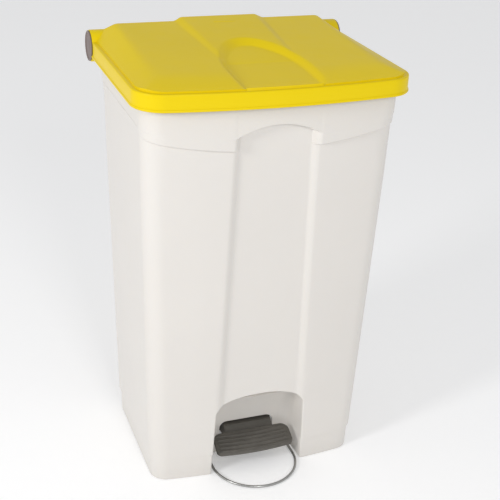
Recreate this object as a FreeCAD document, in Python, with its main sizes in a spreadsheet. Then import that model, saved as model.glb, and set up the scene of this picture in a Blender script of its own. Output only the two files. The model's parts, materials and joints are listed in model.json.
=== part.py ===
import FreeCAD
import Part
import math
import os
import re
import Sketcher
from FreeCAD import Placement, Rotation, Vector

# A 90 litre pedal bin: a tapered tub with a bowed front, a domed lid on two rear hinge
# pins, and a pedal that lifts the lid through a rod behind the back wall.
# Millimetres. X runs across the bin, the front faces -Y and Z is up. The origin is on the
# floor, under the middle of the whole bin.

SIZES = {
    # tub outline, at the floor and at the rim
    "tub_half_low": 211.0,
    "tub_half_high": 236.0,
    "tub_front_low": 150.5,
    "tub_front_high": 170.2,
    "tub_back_low": 159.0,
    "tub_back_high": 174.0,
    "rim_height": 785.0,
    "front_bow": 1445.0,
    "corner_front": 36.0,
    "corner_back": 30.0,
    "wall": 3.5,
    "ground_gap": 1.0,
    "plinth_height": 50.0,
    "plinth_inset": 3.0,
    "floor_low": 76.0,
    "floor_high": 80.0,
    # collar under the lid
    "collar_proud": 7.0,
    "collar_fade": 0.8,
    "collar_low": 681.0,
    "collar_arc": 1011.0,
    # upright recess in the front wall
    "flute_half_low": 91.0,
    "flute_half_high": 80.0,
    "flute_low": 100.0,
    "flute_spring": 694.0,
    "flute_rise": 34.0,
    "flute_shoulder": 20.0,
    "flute_depth": 8.5,
    "flute_slope": 14.0,
    # pedal alcove
    "alcove_half_low": 94.0,
    "alcove_half_high": 89.0,
    "alcove_spring": 143.0,
    "alcove_rise": 31.0,
    "alcove_shoulder": 14.0,
    "alcove_back": 77.0,
    "hood_radius": 100.0,
    "hood_centre": 80.0,
    "slot_half": 57.0,
    "slot_height": 71.0,
    "slot_corner": 16.0,
    # channel for the rod in the back wall, and its cover
    "channel_half": 23.0,
    "channel_face": 138.0,
    "cover_half": 28.0,
    "cover_proud": 11.0,
    "cover_wall": 2.5,
    "cover_low": 12.0,
    "cover_high": 742.0,
    # hinge
    "hinge_back": 184.8,
    "hinge_height": 782.8,
    "barrel_radius": 29.6,
    "barrel_wall": 3.0,
    "barrel_inner": 220.0,
    "notch_radius": 31.0,
    "notch_inner": 218.5,
    "knuckle_radius": 24.0,
    "knuckle_inner": 186.0,
    "knuckle_outer": 216.0,
    "pin_radius": 10.0,
    "pin_clearance": 0.08,
    "pin_cap_radius": 28.4,
    "pin_cap_end": 253.0,
    # lid
    "lid_half": 250.0,
    "lid_front": 198.5,
    "lid_bow": 1500.0,
    "lid_corner": 55.0,
    "lid_wall": 3.0,
    "skirt_low": 766.0,
    "skirt_high": 797.0,
    "bead_proud": 1.6,
    "bead_height": 4.0,
    "groove_inset": 8.0,
    "dome_half": 202.0,
    "dome_front": 138.0,
    "dome_back": 173.0,
    "dome_base_back": 206.0,
    "dome_front_height": 809.0,
    "dome_back_height": 828.0,
    "dome_bow": 1300.0,
    "dome_corner": 32.0,
    "ridge_half_back": 93.0,
    "ridge_half_front": 72.0,
    "ridge_slope": 16.0,
    "ridge_height": 6.0,
    "scoop_half": 80.0,
    "scoop_back": -45.0,
    "scoop_rise": 56.0,
    "scoop_shoulder": 44.0,
    "scoop_depth": 8.0,
    "scoop_slope": 14.0,
    # rod
    "rod_back": 156.3,
    "rod_radius": 3.0,
    "rod_low": 5.0,
    "rod_head": 760.93,
    "rod_stop": 25.3,
    "rod_pin_radius": 2.5,
    "clevis_gap": 2.5,
    "clevis_half": 7.0,
    "lever_plate": 2.0,
    "lever_near": 20.9,
    "lever_far": 43.5,
    "lever_edge": 7.6,
    "lever_slot_near": 28.5,
    "lever_slot_far": 35.9,
    "lever_slot_half": 4.1,
    "lever_seat": 822.0,
    "lid_swing": 75.0,
    # pedal
    "pivot_front": 25.0,
    "pivot_height": 38.0,
    "pedal_reach": 182.6,
    "pedal_swing": 13.74,
    "axle_radius": 4.0,
    "bush_radius": 7.0,
    "bush_clearance": 0.06,
    "arm_half": 50.0,
    "arm_wall": 4.0,
    "bearing_inner": 53.0,
    "bearing_outer": 67.0,
    "channel_width": 32.0,
    "channel_height": 16.0,
    "channel_wall": 2.5,
    "tread_half": 80.0,
    "tread_depth": 49.0,
    "tread_thick": 6.0,
    "tread_tilt": 24.0,
    "tread_chamfer": 11.0,
    "rib_pitch": 9.0,
    "rib_width": 3.2,
    "rib_height": 1.6,
    # stabiliser loop, feet
    "wire_radius": 2.5,
    "screw_radius": 2.5,
    "wire_height": 3.2,
    "loop_radius": 85.0,
    "loop_front": 127.0,
    "loop_back": 55.0,
    "wire_bend": 10.0,
    "foot_radius": 11.0,
    "foot_post": 15.0,
    "foot_side": 168.0,
    "foot_front": 100.0,
    "foot_back": 125.0,
}

NAME = re.compile(r"[a-z]+(?:_[a-z]+)+|wall")

doc = FreeCAD.newDocument("pedal_bin")
sheet = doc.addObject("Spreadsheet::Sheet", "Sheet")
pieces = []


def fill_sheet():
    """Writes each size to its own row of the sheet, with its name as the alias."""
    for row, (name, size) in enumerate(SIZES.items(), start=1):
        sheet.set(f"A{row}", name)
        sheet.set(f"B{row}", str(size))
        sheet.setAlias(f"B{row}", name)
    doc.recompute()


def linked(text):
    """The expression that an object outside the sheet uses."""
    return NAME.sub(lambda match: "Sheet." + match.group(0), str(text))


def size_of(text):
    """The present value of an expression of the sheet's sizes."""
    return float(sheet.evalExpression(str(text)))


def at_height(low, high, height):
    """A tub size at a height, between its value at the floor and at the rim."""
    return f"({low} + ({high} - {low}) * ({height}) / rim_height)"


def bind(thing, **sizes):
    """Ties an object's properties to sizes in the sheet."""
    for prop, text in sizes.items():
        thing.setExpression(prop, linked(text))
    return thing


def put(thing, x="0", y="0", z="0", turn=None):
    """Places an object, with its position tied to the sheet."""
    start = Vector(size_of(x), size_of(y), size_of(z))
    thing.Placement = Placement(start, turn or Rotation())
    for axis, text in zip("xyz", (x, y, z)):
        thing.setExpression("Placement.Base." + axis, linked(text))
    return thing


ALONG_X = Rotation(Vector(0, 1, 0), 90)
ALONG_Y = Rotation(Vector(1, 0, 0), -90)
FACING_FRONT = Rotation(Vector(1, 0, 0), 90)
FACING_SIDE = Rotation(Vector(1, 1, 1), 120)


def box(name, x, y, z, turn=None):
    """A box between two expressions along each axis."""
    block = doc.addObject("Part::Box", name)
    put(block, x[0], y[0], z[0], turn)
    return bind(
        block,
        Length=f"({x[1]}) - ({x[0]})",
        Width=f"({y[1]}) - ({y[0]})",
        Height=f"({z[1]}) - ({z[0]})",
    )


def rod(name, radius, length, x="0", y="0", z="0", turn=None):
    """A cylinder that starts at a point and runs along Z, or as it is turned."""
    bar = doc.addObject("Part::Cylinder", name)
    put(bar, x, y, z, turn)
    return bind(bar, Radius=radius, Height=length)


def cut(name, base, tool):
    """The base without the tool."""
    result = doc.addObject("Part::Cut", name)
    result.Base = base
    result.Tool = tool
    return result


def fuse(name, shapes):
    """One solid from several that touch."""
    result = doc.addObject("Part::MultiFuse", name)
    result.Shapes = shapes
    return result


def common(name, shapes):
    """What several solids share."""
    result = doc.addObject("Part::MultiCommon", name)
    result.Shapes = shapes
    return result


def group(name, shapes):
    """Separate identical solids in one sub-part."""
    result = doc.addObject("Part::Compound", name)
    result.Links = shapes
    return result


def mirrored(name, source):
    """The same solid on the other side of the bin."""
    result = doc.addObject("Part::Mirroring", name)
    result.Source = source
    result.Normal = Vector(1, 0, 0)
    return result


def keep(thing, label):
    """Names a finished sub-part."""
    thing.Label = label
    pieces.append(thing)
    return thing


def sketch_polygon(name, points, sketch=None):
    """A closed polygon whose corners are tied to pairs of expressions."""
    sketch = sketch or doc.addObject("Sketcher::SketchObject", name)
    corners = [Vector(size_of(x), size_of(y), 0) for x, y in points]
    count = len(corners)
    for index in range(count):
        sketch.addGeometry(Part.LineSegment(corners[index], corners[(index + 1) % count]))
    for index in range(count):
        sketch.addConstraint(
            Sketcher.Constraint("Coincident", index, 2, (index + 1) % count, 1)
        )
    for index, (x, y) in enumerate(points):
        for kind, text, value in (
            ("DistanceX", x, corners[index].x),
            ("DistanceY", y, corners[index].y),
        ):
            number = sketch.addConstraint(Sketcher.Constraint(kind, -1, 1, index, 1, value))
            sketch.setExpression(f"Constraints[{number}]", linked(text))
    return sketch


def slab(name, points, half):
    """A side profile, given as (y, z) corners, extruded equally to both sides."""
    profile = sketch_polygon(name + "_profile", points)
    profile.Placement = Placement(Vector(), FACING_SIDE)
    return extrusion(name, profile, Vector(1, 0, 0), half, half)


def extrusion(name, profile, direction, forward, backward):
    """A profile pushed out along a direction, both ways."""
    result = doc.addObject("Part::Extrusion", name)
    result.Base = profile
    result.DirMode = "Custom"
    result.Dir = direction
    result.Solid = True
    return bind(result, LengthFwd=forward, LengthRev=backward)


def loft(name, sections):
    """A solid with straight rulings between its sections."""
    result = doc.addObject("Part::Loft", name)
    result.Sections = sections
    result.Solid = True
    result.Ruled = True
    return result


def outline(name, half, front, back, bow, corners, height, tilt=None, half_back=None):
    """A plan outline: a straight back, two sides and a front bowed to a large radius.

    The corner arcs are tangent to their neighbours. half_back differs from half where the
    sides spread towards the front.
    """
    half_back = half_back or half
    sketch = doc.addObject("Sketcher::SketchObject", name)
    draw_outline(sketch, [size_of(text) for text in (half, half_back, front, back, bow, *corners)])
    join_outline(sketch)
    dimension_outline(sketch, half, half_back, front, back, bow, corners)
    return put(sketch, "0", "0", height, tilt)


def draw_outline(sketch, sizes):
    """Adds the eight curves of an outline, clockwise from the back line."""
    half, half_back, front, back, bow, corner, corner_back = sizes
    lean = math.atan2(half - half_back, back + front)
    along = Vector(math.sin(lean), -math.cos(lean), 0)
    outward = Vector(math.cos(lean), math.sin(lean), 0)
    bow_centre = Vector(0, bow - front, 0)
    rear = Vector(half_back, back, 0)
    rear_centre = rear - outward * corner_back
    rear_centre += along * (corner_back * (1 - math.sin(lean)) / math.cos(lean))
    reach = rear - outward * corner - bow_centre
    slide = reach.dot(along)
    run = math.sqrt(slide**2 - reach.dot(reach) + (bow - corner) ** 2) - slide
    centre = rear - outward * corner + along * run
    tangent = bow_centre + (centre - bow_centre).normalize() * bow
    points = [
        rear_centre + Vector(0, corner_back, 0),
        rear_centre + outward * corner_back,
        centre + outward * corner,
        tangent,
    ]
    left = [Vector(-point.x, point.y, 0) for point in points]
    arcs = [(points[0], points[1], rear_centre), (points[2], points[3], centre)]
    curves = [Part.LineSegment(left[0], points[0])]
    curves.append(rounding(*arcs[0]))
    curves.append(Part.LineSegment(points[1], points[2]))
    curves.append(rounding(*arcs[1]))
    curves.append(Part.Arc(points[3], Vector(0, -front, 0), left[3]))
    curves.append(rounding(left[3], left[2], Vector(-centre.x, centre.y, 0)))
    curves.append(Part.LineSegment(left[2], left[1]))
    curves.append(rounding(left[1], left[0], Vector(-rear_centre.x, rear_centre.y, 0)))
    for curve in curves:
        sketch.addGeometry(curve)


def rounding(start, end, centre):
    """A corner arc from start to end round a centre."""
    middle = (start + end) * 0.5 - centre
    return Part.Arc(start, centre + middle.normalize() * (start - centre).Length, end)


def join_outline(sketch):
    """Makes each curve of an outline tangent to the next, end to end."""
    count = len(sketch.Geometry)
    for index in range(count):
        following = (index + 1) % count
        pairs = [(a, b) for a in (1, 2) for b in (1, 2)]
        gap = lambda pair: (
            sketch.getPoint(index, pair[0]) - sketch.getPoint(following, pair[1])
        ).Length
        end, start = min(pairs, key=gap)
        sketch.addConstraint(Sketcher.Constraint("Tangent", index, end, following, start))


def dimension_outline(sketch, half, half_back, front, back, bow, corners):
    """Ties an outline's size to the sheet."""
    limits = [
        (("Radius", 1), corners[1]),
        (("Radius", 7), corners[1]),
        (("Radius", 3), corners[0]),
        (("Radius", 5), corners[0]),
        (("Radius", 4), bow),
        (("DistanceX", -1, 1, 2, 1), half_back),
        (("DistanceX", -1, 1, 2, 2), half),
        (("DistanceX", -1, 1, 6, 1), f"-({half})"),
        (("DistanceX", -1, 1, 6, 2), f"-({half_back})"),
        (("DistanceY", -1, 1, 0, 1), back),
        (("DistanceY", -1, 1, 4, 3), f"({bow}) - ({front})"),
    ]
    sketch.addConstraint(Sketcher.Constraint("Horizontal", 0))
    sketch.addConstraint(Sketcher.Constraint("PointOnObject", 4, 3, -2))
    for terms, text in limits:
        number = sketch.addConstraint(Sketcher.Constraint(*terms, size_of(text)))
        sketch.setExpression(f"Constraints[{number}]", linked(text))


def arch(name, half_low, half_high, low, spring, rise, shoulder, place):
    """An upright arch profile that faces the front: splayed sides and a three-centred top."""
    base, wide, foot = size_of(half_low), size_of(half_high), size_of(low)
    line, height, small = size_of(spring), size_of(rise), size_of(shoulder)
    large = (wide**2 + height**2 - 2 * wide * small) / (2 * (height - small))
    top = Vector(0, line + height - large, 0)
    side = Vector(wide - small, line, 0)
    meet = top + (side - top).normalize() * large
    springing = Vector(wide, line, 0)
    flip = lambda point: Vector(-point.x, point.y, 0)
    sketch = doc.addObject("Sketcher::SketchObject", name)
    for curve in (
        Part.LineSegment(Vector(base, foot, 0), springing),
        rounding(springing, meet, side),
        Part.Arc(meet, Vector(0, line + height, 0), flip(meet)),
        rounding(flip(meet), flip(springing), flip(side)),
        Part.LineSegment(flip(springing), Vector(-base, foot, 0)),
        Part.LineSegment(Vector(-base, foot, 0), Vector(base, foot, 0)),
    ):
        sketch.addGeometry(curve)
    for terms, text in (
        (("DistanceX", -1, 1, 0, 1), half_low),
        (("DistanceY", -1, 1, 0, 1), low),
        (("DistanceX", -1, 1, 0, 2), half_high),
        (("DistanceY", -1, 1, 0, 2), spring),
    ):
        number = sketch.addConstraint(Sketcher.Constraint(*terms, size_of(text)))
        sketch.setExpression(f"Constraints[{number}]", linked(text))
    sketch.Placement = place
    return sketch


def placed(x, y, z, turn):
    """A fixed place, worked out from expressions."""
    return Placement(Vector(size_of(x), size_of(y), size_of(z)), turn)


def tub_outline(name, height, inset="0", proud="0", fade="0"):
    """The tub's outline at a height: set in from its faces, or proud at the front and fading back."""
    level = lambda low, high: at_height(low, high, height)
    half = f"{level('tub_half_low', 'tub_half_high')} - ({inset})"
    return outline(
        name,
        f"{half} + {fade}",
        f"{level('tub_front_low', 'tub_front_high')} - ({inset}) + {proud}",
        f"{level('tub_back_low', 'tub_back_high')} - ({inset}) + {fade}",
        f"front_bow - ({inset})",
        (f"corner_front - ({inset})", f"corner_back - ({inset})"),
        height,
        half_back=f"{half} + {fade}",
    )


def tub_loft(name, low, high, inset="0", proud="0", fade="0"):
    """A tapered block between two heights of the tub."""
    sections = [
        tub_outline(f"{name}_{end}", height, inset, proud, fade)
        for end, height in (("low", low), ("high", high))
    ]
    return loft(name, sections)


def flute(name, grow, depth):
    """The upright recess in the front wall, grown sideways and made deeper by a wall."""
    lean = math.degrees(
        math.atan2(size_of("tub_front_high - tub_front_low"), size_of("rim_height"))
    )
    turn = Rotation(Vector(1, 0, 0), 90 + lean)
    toward_back = turn.multVec(Vector(0, 0, -1))
    origin = Vector(0, -size_of("tub_front_low"), 0)
    curve_in = f"flute_half_high * flute_half_high / (2 * front_bow)"

    def profile(label, shrink, back):
        place = Placement(origin + toward_back * size_of(back), turn)
        return arch(
            label,
            f"flute_half_low + {grow} - {shrink}",
            f"flute_half_high + {grow} - {shrink}",
            "flute_low",
            "flute_spring",
            f"flute_rise + {grow} - {shrink}",
            f"flute_shoulder + {grow} - {shrink}",
            place,
        )

    outer = profile(name + "_mouth", "0", curve_in)
    inner = profile(name + "_floor", "flute_slope", depth)
    sloped = loft(name + "_slopes", [outer, inner])
    straight = extrusion(name + "_entry", outer, toward_back, "0.01", "40")
    return fuse(name, [sloped, straight])


def alcove(name, grow):
    """The hooded space for the pedal, open to the front and to the floor."""
    place = placed("0", "-200", "0", FACING_FRONT)
    profile = arch(
        name + "_profile",
        f"alcove_half_low + {grow}",
        f"alcove_half_high + {grow}",
        "-5",
        "alcove_spring",
        f"alcove_rise + {grow}",
        f"alcove_shoulder + {grow}",
        place,
    )
    tunnel = extrusion(name + "_tunnel", profile, Vector(0, 1, 0), "180", "0")
    hood = rod(
        name + "_hood",
        f"hood_radius + {grow}",
        "240",
        "-120",
        "-(alcove_back + hood_radius)",
        "hood_centre",
        ALONG_X,
    )
    below = box(
        name + "_below",
        ("-120", "120"),
        ("-210", f"-alcove_back + {grow}"),
        ("-6", "hood_centre"),
    )
    return common(name, [tunnel, fuse(name + "_depth", [hood, below])])


def hinge_notch(name, grow):
    """The scoops at the back corners of the tub that clear the lid's barrels."""
    notch = rod(
        name + "_right",
        f"notch_radius + {grow}",
        f"70 + {grow}",
        f"notch_inner - {grow}",
        "hinge_back",
        "hinge_height",
        ALONG_X,
    )
    return fuse(name, [notch, mirrored(name + "_left", notch)])


def rod_channel(name, grow, low):
    """The groove for the rod in the back wall."""
    return box(
        name,
        (f"-channel_half - {grow}", f"channel_half + {grow}"),
        (f"channel_face - {grow}", "tub_back_high + 20"),
        (low, "rim_height + 10"),
    )


def tub_collar():
    """The proud band under the lid, whose lower edge is a shallow arc."""
    band = tub_loft(
        "collar_band", "collar_low - 8", "rim_height", proud="collar_proud", fade="collar_fade"
    )
    arc = rod(
        "collar_curve",
        "collar_arc",
        "600",
        "0",
        "-300",
        "collar_low + collar_arc",
        ALONG_Y,
    )
    gap = box(
        "collar_gap",
        ("-cover_half - 0.3", "cover_half + 0.3"),
        ("tub_back_low - 5", "tub_back_high + 5"),
        ("collar_low - 10", "rim_height + 5"),
    )
    return cut("collar", common("collar_arched", [band, arc]), gap)


def tub_hollows():
    """The room for waste and the room under the floor, less the walls of the recesses."""
    room = tub_loft("room", "floor_high", "rim_height + 5", inset="wall")
    top_room = tub_loft(
        "collar_room",
        "collar_low + 32",
        "rim_height + 5",
        inset="wall",
        proud="collar_proud",
        fade="collar_fade",
    )
    under = tub_loft("under_room", "-5", "floor_low", inset="wall + plinth_inset")
    walls = fuse("recess_walls", [
        flute("flute_wall", "wall", "flute_depth + wall"),
        alcove("alcove_wall", "wall"),
        hinge_notch("notch_wall", "wall"),
        rod_channel("channel_walls", "wall", "floor_low"),
    ])
    return cut("hollows", fuse("rooms", [room, top_room, under]), walls)


def pedal_slot():
    """The opening in the back of the alcove that the pedal passes through."""
    wide = box(
        "slot_wide",
        ("-slot_half", "slot_half"),
        ("-alcove_back - 5", "-alcove_back + wall + 1"),
        ("-5", "slot_height - slot_corner"),
    )
    tall = box(
        "slot_tall",
        ("slot_corner - slot_half", "slot_half - slot_corner"),
        ("-alcove_back - 5", "-alcove_back + wall + 1"),
        ("-5", "slot_height"),
    )
    corner = rod(
        "slot_round",
        "slot_corner",
        "wall + 6",
        "slot_half - slot_corner",
        "-alcove_back - 5",
        "slot_height - slot_corner",
        ALONG_Y,
    )
    return fuse("slot", [wide, tall, corner, mirrored("slot_round_left", corner)])


def wire_notches():
    """Openings at the foot of the alcove for the legs of the stabiliser loop."""
    notch = box(
        "wire_notch",
        ("loop_radius - 5", "loop_radius + 5"),
        ("-alcove_back - 5", "-alcove_back + wall + 1"),
        ("-5", "wire_height + 6"),
    )
    return fuse("wire_ways", [notch, mirrored("wire_notch_left", notch)])


def hinge_knuckles():
    """The two hinge knuckles behind the tub, with their webs."""
    length = "knuckle_outer - knuckle_inner"
    round_part = rod(
        "knuckle",
        "knuckle_radius",
        length,
        "knuckle_inner",
        "hinge_back",
        "hinge_height",
        ALONG_X,
    )
    web = box(
        "knuckle_web",
        ("knuckle_inner", "knuckle_outer"),
        ("tub_back_high - 3", "hinge_back"),
        ("hinge_height - 38", "hinge_height"),
    )
    return [round_part, web, mirrored("knuckle_left", round_part), mirrored("web_left", web)]


def corner_posts():
    """Four posts under the floor that hold the rubber feet."""
    posts = []
    for name, y in (("front", "-foot_front"), ("back", "foot_back")):
        post = rod(
            f"post_{name}",
            "foot_post",
            "floor_high - 2 - ground_gap",
            "foot_side",
            y,
            "ground_gap",
        )
        posts += [post, mirrored(f"post_{name}_left", post)]
    return posts


def foot_holes():
    """The blind holes that the rubber feet press into."""
    holes = []
    for name, y in (("front", "-foot_front"), ("back", "foot_back")):
        hole = rod(f"foot_hole_{name}", "foot_radius", "6", "foot_side", y, "0")
        holes += [hole, mirrored(f"foot_hole_{name}_left", hole)]
    return holes


def screw_holes():
    """Blind holes under the floor for the screws of the bearings and the loop's sockets."""
    places = [("bearing_outer + 9", f"{y} - pivot_front") for y in ("-8", "8")]
    places.append(("loop_radius + 14", "-loop_back"))
    holes = []
    for index, (x, y) in enumerate(places):
        hole = rod(f"screw_hole_{index}", "screw_radius", "4", x, y, "floor_low - 1")
        holes += [hole, mirrored(f"screw_hole_left_{index}", hole)]
    return holes


def pin_bores():
    """Bores for the hinge pins through the knuckles and the notch walls."""
    bore = rod(
        "pin_bore",
        "pin_radius",
        "80",
        "knuckle_inner + 4",
        "hinge_back",
        "hinge_height",
        ALONG_X,
    )
    return [bore, mirrored("pin_bore_left", bore)]


def make_tub():
    """The moulded tub, with its plinth, collar, recesses, posts and knuckles."""
    upper = tub_loft("tub_upper", "plinth_height", "rim_height")
    plinth = tub_loft("plinth", "ground_gap", "plinth_height", inset="plinth_inset")
    skin = fuse("tub_skin", [upper, plinth, tub_collar()])
    walls = fuse("tub_walls", [cut("tub_open", skin, tub_hollows()), *corner_posts()])
    spaces = fuse("tub_spaces", [
        flute("flute_space", "0", "flute_depth"),
        alcove("alcove_space", "0"),
        hinge_notch("notch_space", "0"),
        rod_channel("channel_space", "0", "-5"),
        pedal_slot(),
        wire_notches(),
        *foot_holes(),
        *screw_holes(),
    ])
    shaped = fuse("tub_shaped", [cut("tub_cut", walls, spaces), *hinge_knuckles()])
    bored = cut("tub", shaped, fuse("pin_ways", pin_bores()))
    return keep(bored, "tub_body")


def check_document():
    """Stops the build if any object failed or any finished sub-part is not a solid."""
    doc.recompute()
    for thing in doc.Objects:
        if "Invalid" in thing.State or "Error" in thing.State:
            raise RuntimeError(f"{thing.Name} failed: {thing.State}")
    for thing in pieces:
        shape = thing.Shape
        if shape.isNull() or not shape.isValid() or not shape.Solids:
            raise RuntimeError(f"{thing.Label} is not a valid solid")


def export():
    """Writes each finished sub-part to its own file."""
    os.makedirs("parts", exist_ok=True)
    for thing in pieces:
        thing.Shape.exportStep(f"parts/{thing.Label}.step")
        bounds = thing.Shape.BoundBox
        print(
            f"{thing.Label:24s} {len(thing.Shape.Solids)} solids {thing.Shape.Volume / 1000:9.2f} cm3"
            f"  x {bounds.XMin:.1f} {bounds.XMax:.1f}  y {bounds.YMin:.1f} {bounds.YMax:.1f}"
            f"  z {bounds.ZMin:.1f} {bounds.ZMax:.1f}"
        )


def lid_outline(name, inset, height, back):
    """The lid's outline, set in from the skirt."""
    return outline(
        name,
        f"lid_half - ({inset})",
        f"lid_front - ({inset})",
        back,
        f"lid_bow - ({inset})",
        (f"lid_corner - ({inset})", "dome_corner"),
        height,
    )


def dome_tilt():
    """How far the top of the dome leans, in degrees."""
    rise = size_of("dome_back_height - dome_front_height")
    return math.degrees(math.atan2(rise, size_of("dome_front + dome_back")))


def dome_level():
    """The height of the dome's sloping top over the middle of the bin."""
    slope = "(dome_back_height - dome_front_height) / (dome_front + dome_back)"
    return f"(dome_front_height + dome_front * {slope})"


def dome(name, inset, drop):
    """The dome: a block from the skirt's outline up to the sloping top."""
    base = lid_outline(
        name + "_base", f"groove_inset + {inset}", f"skirt_high - {drop}", f"dome_base_back - {inset}"
    )
    top = outline(
        name + "_top",
        f"dome_half - {inset} / 3",
        f"dome_front - {inset} / 3",
        f"dome_back - {inset} / 3",
        "dome_bow",
        ("dome_corner", "dome_corner"),
        f"{dome_level()} - {drop}",
        tilt=Rotation(Vector(1, 0, 0), dome_tilt()),
    )
    return loft(name, [base, top])


def ridge(name, inset, drop, heel="dome_base_back - 9", heel_fall="13"):
    """The broad raised band from the back of the dome down to the grip recess."""
    sections = []
    stations = (
        ("front", "-40", "ridge_half_front", "0.5"),
        ("back", "dome_back", "ridge_half_back", "ridge_height"),
        ("heel", heel, "ridge_half_back - 4", f"-{heel_fall}"),
    )
    slope = "(dome_back_height - dome_front_height) / (dome_front + dome_back)"
    for end, y, half, height in stations:
        wide = f"{half} - {inset}"
        top = f"({dome_level()} + ({y}) * {slope} + {height} - {drop})"
        points = [
            (wide, "skirt_high - 8"),
            (wide, f"{top} - ridge_height"),
            (f"{wide} - ridge_slope", top),
            (f"-({wide} - ridge_slope)", top),
            (f"-({wide})", f"{top} - ridge_height"),
            (f"-({wide})", "skirt_high - 8"),
        ]
        profile = sketch_polygon(f"{name}_{end}", points)
        sections.append(put(profile, "0", y, "0", FACING_FRONT))
    return loft(name, sections)


def scoop(name, grow):
    """The arch-ended grip recess, open to the front slope of the dome."""
    tilt = Rotation(Vector(1, 0, 0), dome_tilt())
    up = tilt.multVec(Vector(0, 0, 1))
    base = Vector(0, 0, size_of(dome_level()))
    sections = []
    for end, level, shrink in (("mouth", "6", "-10.5"), ("floor", "-scoop_depth", "scoop_slope")):
        place = Placement(base + up * size_of(f"{level} - {grow}"), tilt)
        half = f"scoop_half + {grow} - ({shrink})"
        sections.append(arch(
            f"{name}_{end}",
            f"{half} + 1",
            f"{half} - 7",
            "-lid_front - 25",
            f"-scoop_back - scoop_rise - ({shrink}) * 1.6 + {grow}",
            "scoop_rise",
            "scoop_shoulder",
            place,
        ))
    return loft(name, sections)


def lid_barrels():
    """The two hinge barrels at the back corners of the lid."""
    barrel = rod(
        "barrel",
        "barrel_radius",
        "lid_half - barrel_inner",
        "barrel_inner",
        "hinge_back",
        "hinge_height",
        ALONG_X,
    )
    return [barrel, mirrored("barrel_left", barrel)]


def barrel_cores():
    """The pin bores and the ring-shaped recesses at the barrels' outer ends."""
    bore = rod(
        "barrel_bore",
        "pin_radius + pin_clearance",
        "60",
        "barrel_inner - 10",
        "hinge_back",
        "hinge_height",
        ALONG_X,
    )
    ring = rod(
        "barrel_ring",
        "barrel_radius - barrel_wall",
        "lid_half - barrel_inner",
        "barrel_inner + 4",
        "hinge_back",
        "hinge_height",
        ALONG_X,
    )
    hub = rod(
        "barrel_hub",
        "pin_radius + barrel_wall + 1",
        "60",
        "barrel_inner - 10",
        "hinge_back",
        "hinge_height",
        ALONG_X,
    )
    recess = cut("barrel_recess", ring, hub)
    cap_room = rod(
        "cap_room",
        "pin_cap_radius + 0.4",
        "10",
        "lid_half",
        "hinge_back",
        "hinge_height",
        ALONG_X,
    )
    ways = [bore, recess, cap_room]
    return ways + [mirrored(f"{way.Name}_left", way) for way in ways]


def lid_skin():
    """The lid's outer form, before it is hollowed."""
    skirt = loft("skirt", [
        lid_outline("skirt_bottom", "0", "skirt_low", "dome_base_back"),
        lid_outline("skirt_top", "0", "skirt_high", "dome_base_back"),
    ])
    bead = loft("bead", [
        lid_outline("bead_bottom", "-bead_proud", "skirt_low", "dome_base_back"),
        lid_outline("bead_top", "-bead_proud", "skirt_low + bead_height", "dome_base_back"),
    ])
    front = box(
        "skirt_part",
        ("-lid_half - 10", "lid_half + 10"),
        ("-lid_front - 10", "hinge_back - barrel_radius + 8"),
        ("skirt_low - 10", "skirt_high + 10"),
    )
    band = common("skirt_band", [fuse("skirt_and_bead", [skirt, bead]), front])
    roll = rod(
        "back_roll",
        "barrel_radius",
        "2 * barrel_inner",
        "-barrel_inner",
        "hinge_back",
        "hinge_height",
        ALONG_X,
    )
    return fuse("lid_skin", [band, dome("dome", "0", "0"), ridge("ridge", "0", "0"), roll])


def lid_room():
    """The hollow under the lid, clear of the scoop's walls and the barrels."""
    skirt = loft("skirt_room", [
        lid_outline("skirt_room_bottom", "lid_wall", "skirt_low - 10", "dome_base_back - lid_wall"),
        lid_outline("skirt_room_top", "lid_wall", "skirt_high - lid_wall", "dome_base_back - lid_wall"),
    ])
    roll = rod(
        "roll_room",
        "barrel_radius - lid_wall",
        "2 * barrel_inner",
        "-barrel_inner",
        "hinge_back",
        "hinge_height",
        ALONG_X,
    )
    low = box(
        "roll_opening",
        ("-barrel_inner", "barrel_inner"),
        ("hinge_back - barrel_radius - 5", "hinge_back + barrel_radius + 10"),
        ("hinge_height - barrel_radius - 10", "hinge_height + 4.6"),
    )
    rooms = fuse("lid_rooms", [
        skirt,
        dome("dome_room", "lid_wall", "lid_wall"),
        ridge("ridge_room", "lid_wall", "lid_wall", heel="dome_back + 5", heel_fall="2"),
        roll,
        low,
    ])
    kept = fuse("lid_kept", [scoop("scoop_wall", "lid_wall"), *lid_barrels()])
    return cut("lid_room", rooms, kept)


def make_lid():
    """The moulded lid: skirt, groove, dome, ridge, grip recess and hinge barrels."""
    hollow = cut("lid_hollow", lid_skin(), lid_room())
    scooped = cut("lid_scooped", hollow, scoop("scoop_space", "0"))
    barrel = rod(
        "lid_barrel",
        "barrel_radius",
        "lid_half - barrel_inner",
        "barrel_inner",
        "hinge_back",
        "hinge_height",
        ALONG_X,
    )
    pad = box("lever_pad", ("-22", "22"), ("136", "168"), ("lever_seat", "830.5"))
    whole = fuse("lid_whole", [scooped, barrel, mirrored("lid_barrel_left", barrel), pad])
    holes = lever_screw_bars("pad_hole", "2", "lever_seat - 1", "6")
    keep(cut("lid", whole, fuse("barrel_ways", [*barrel_cores(), *holes])), "lid_cover")


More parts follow.
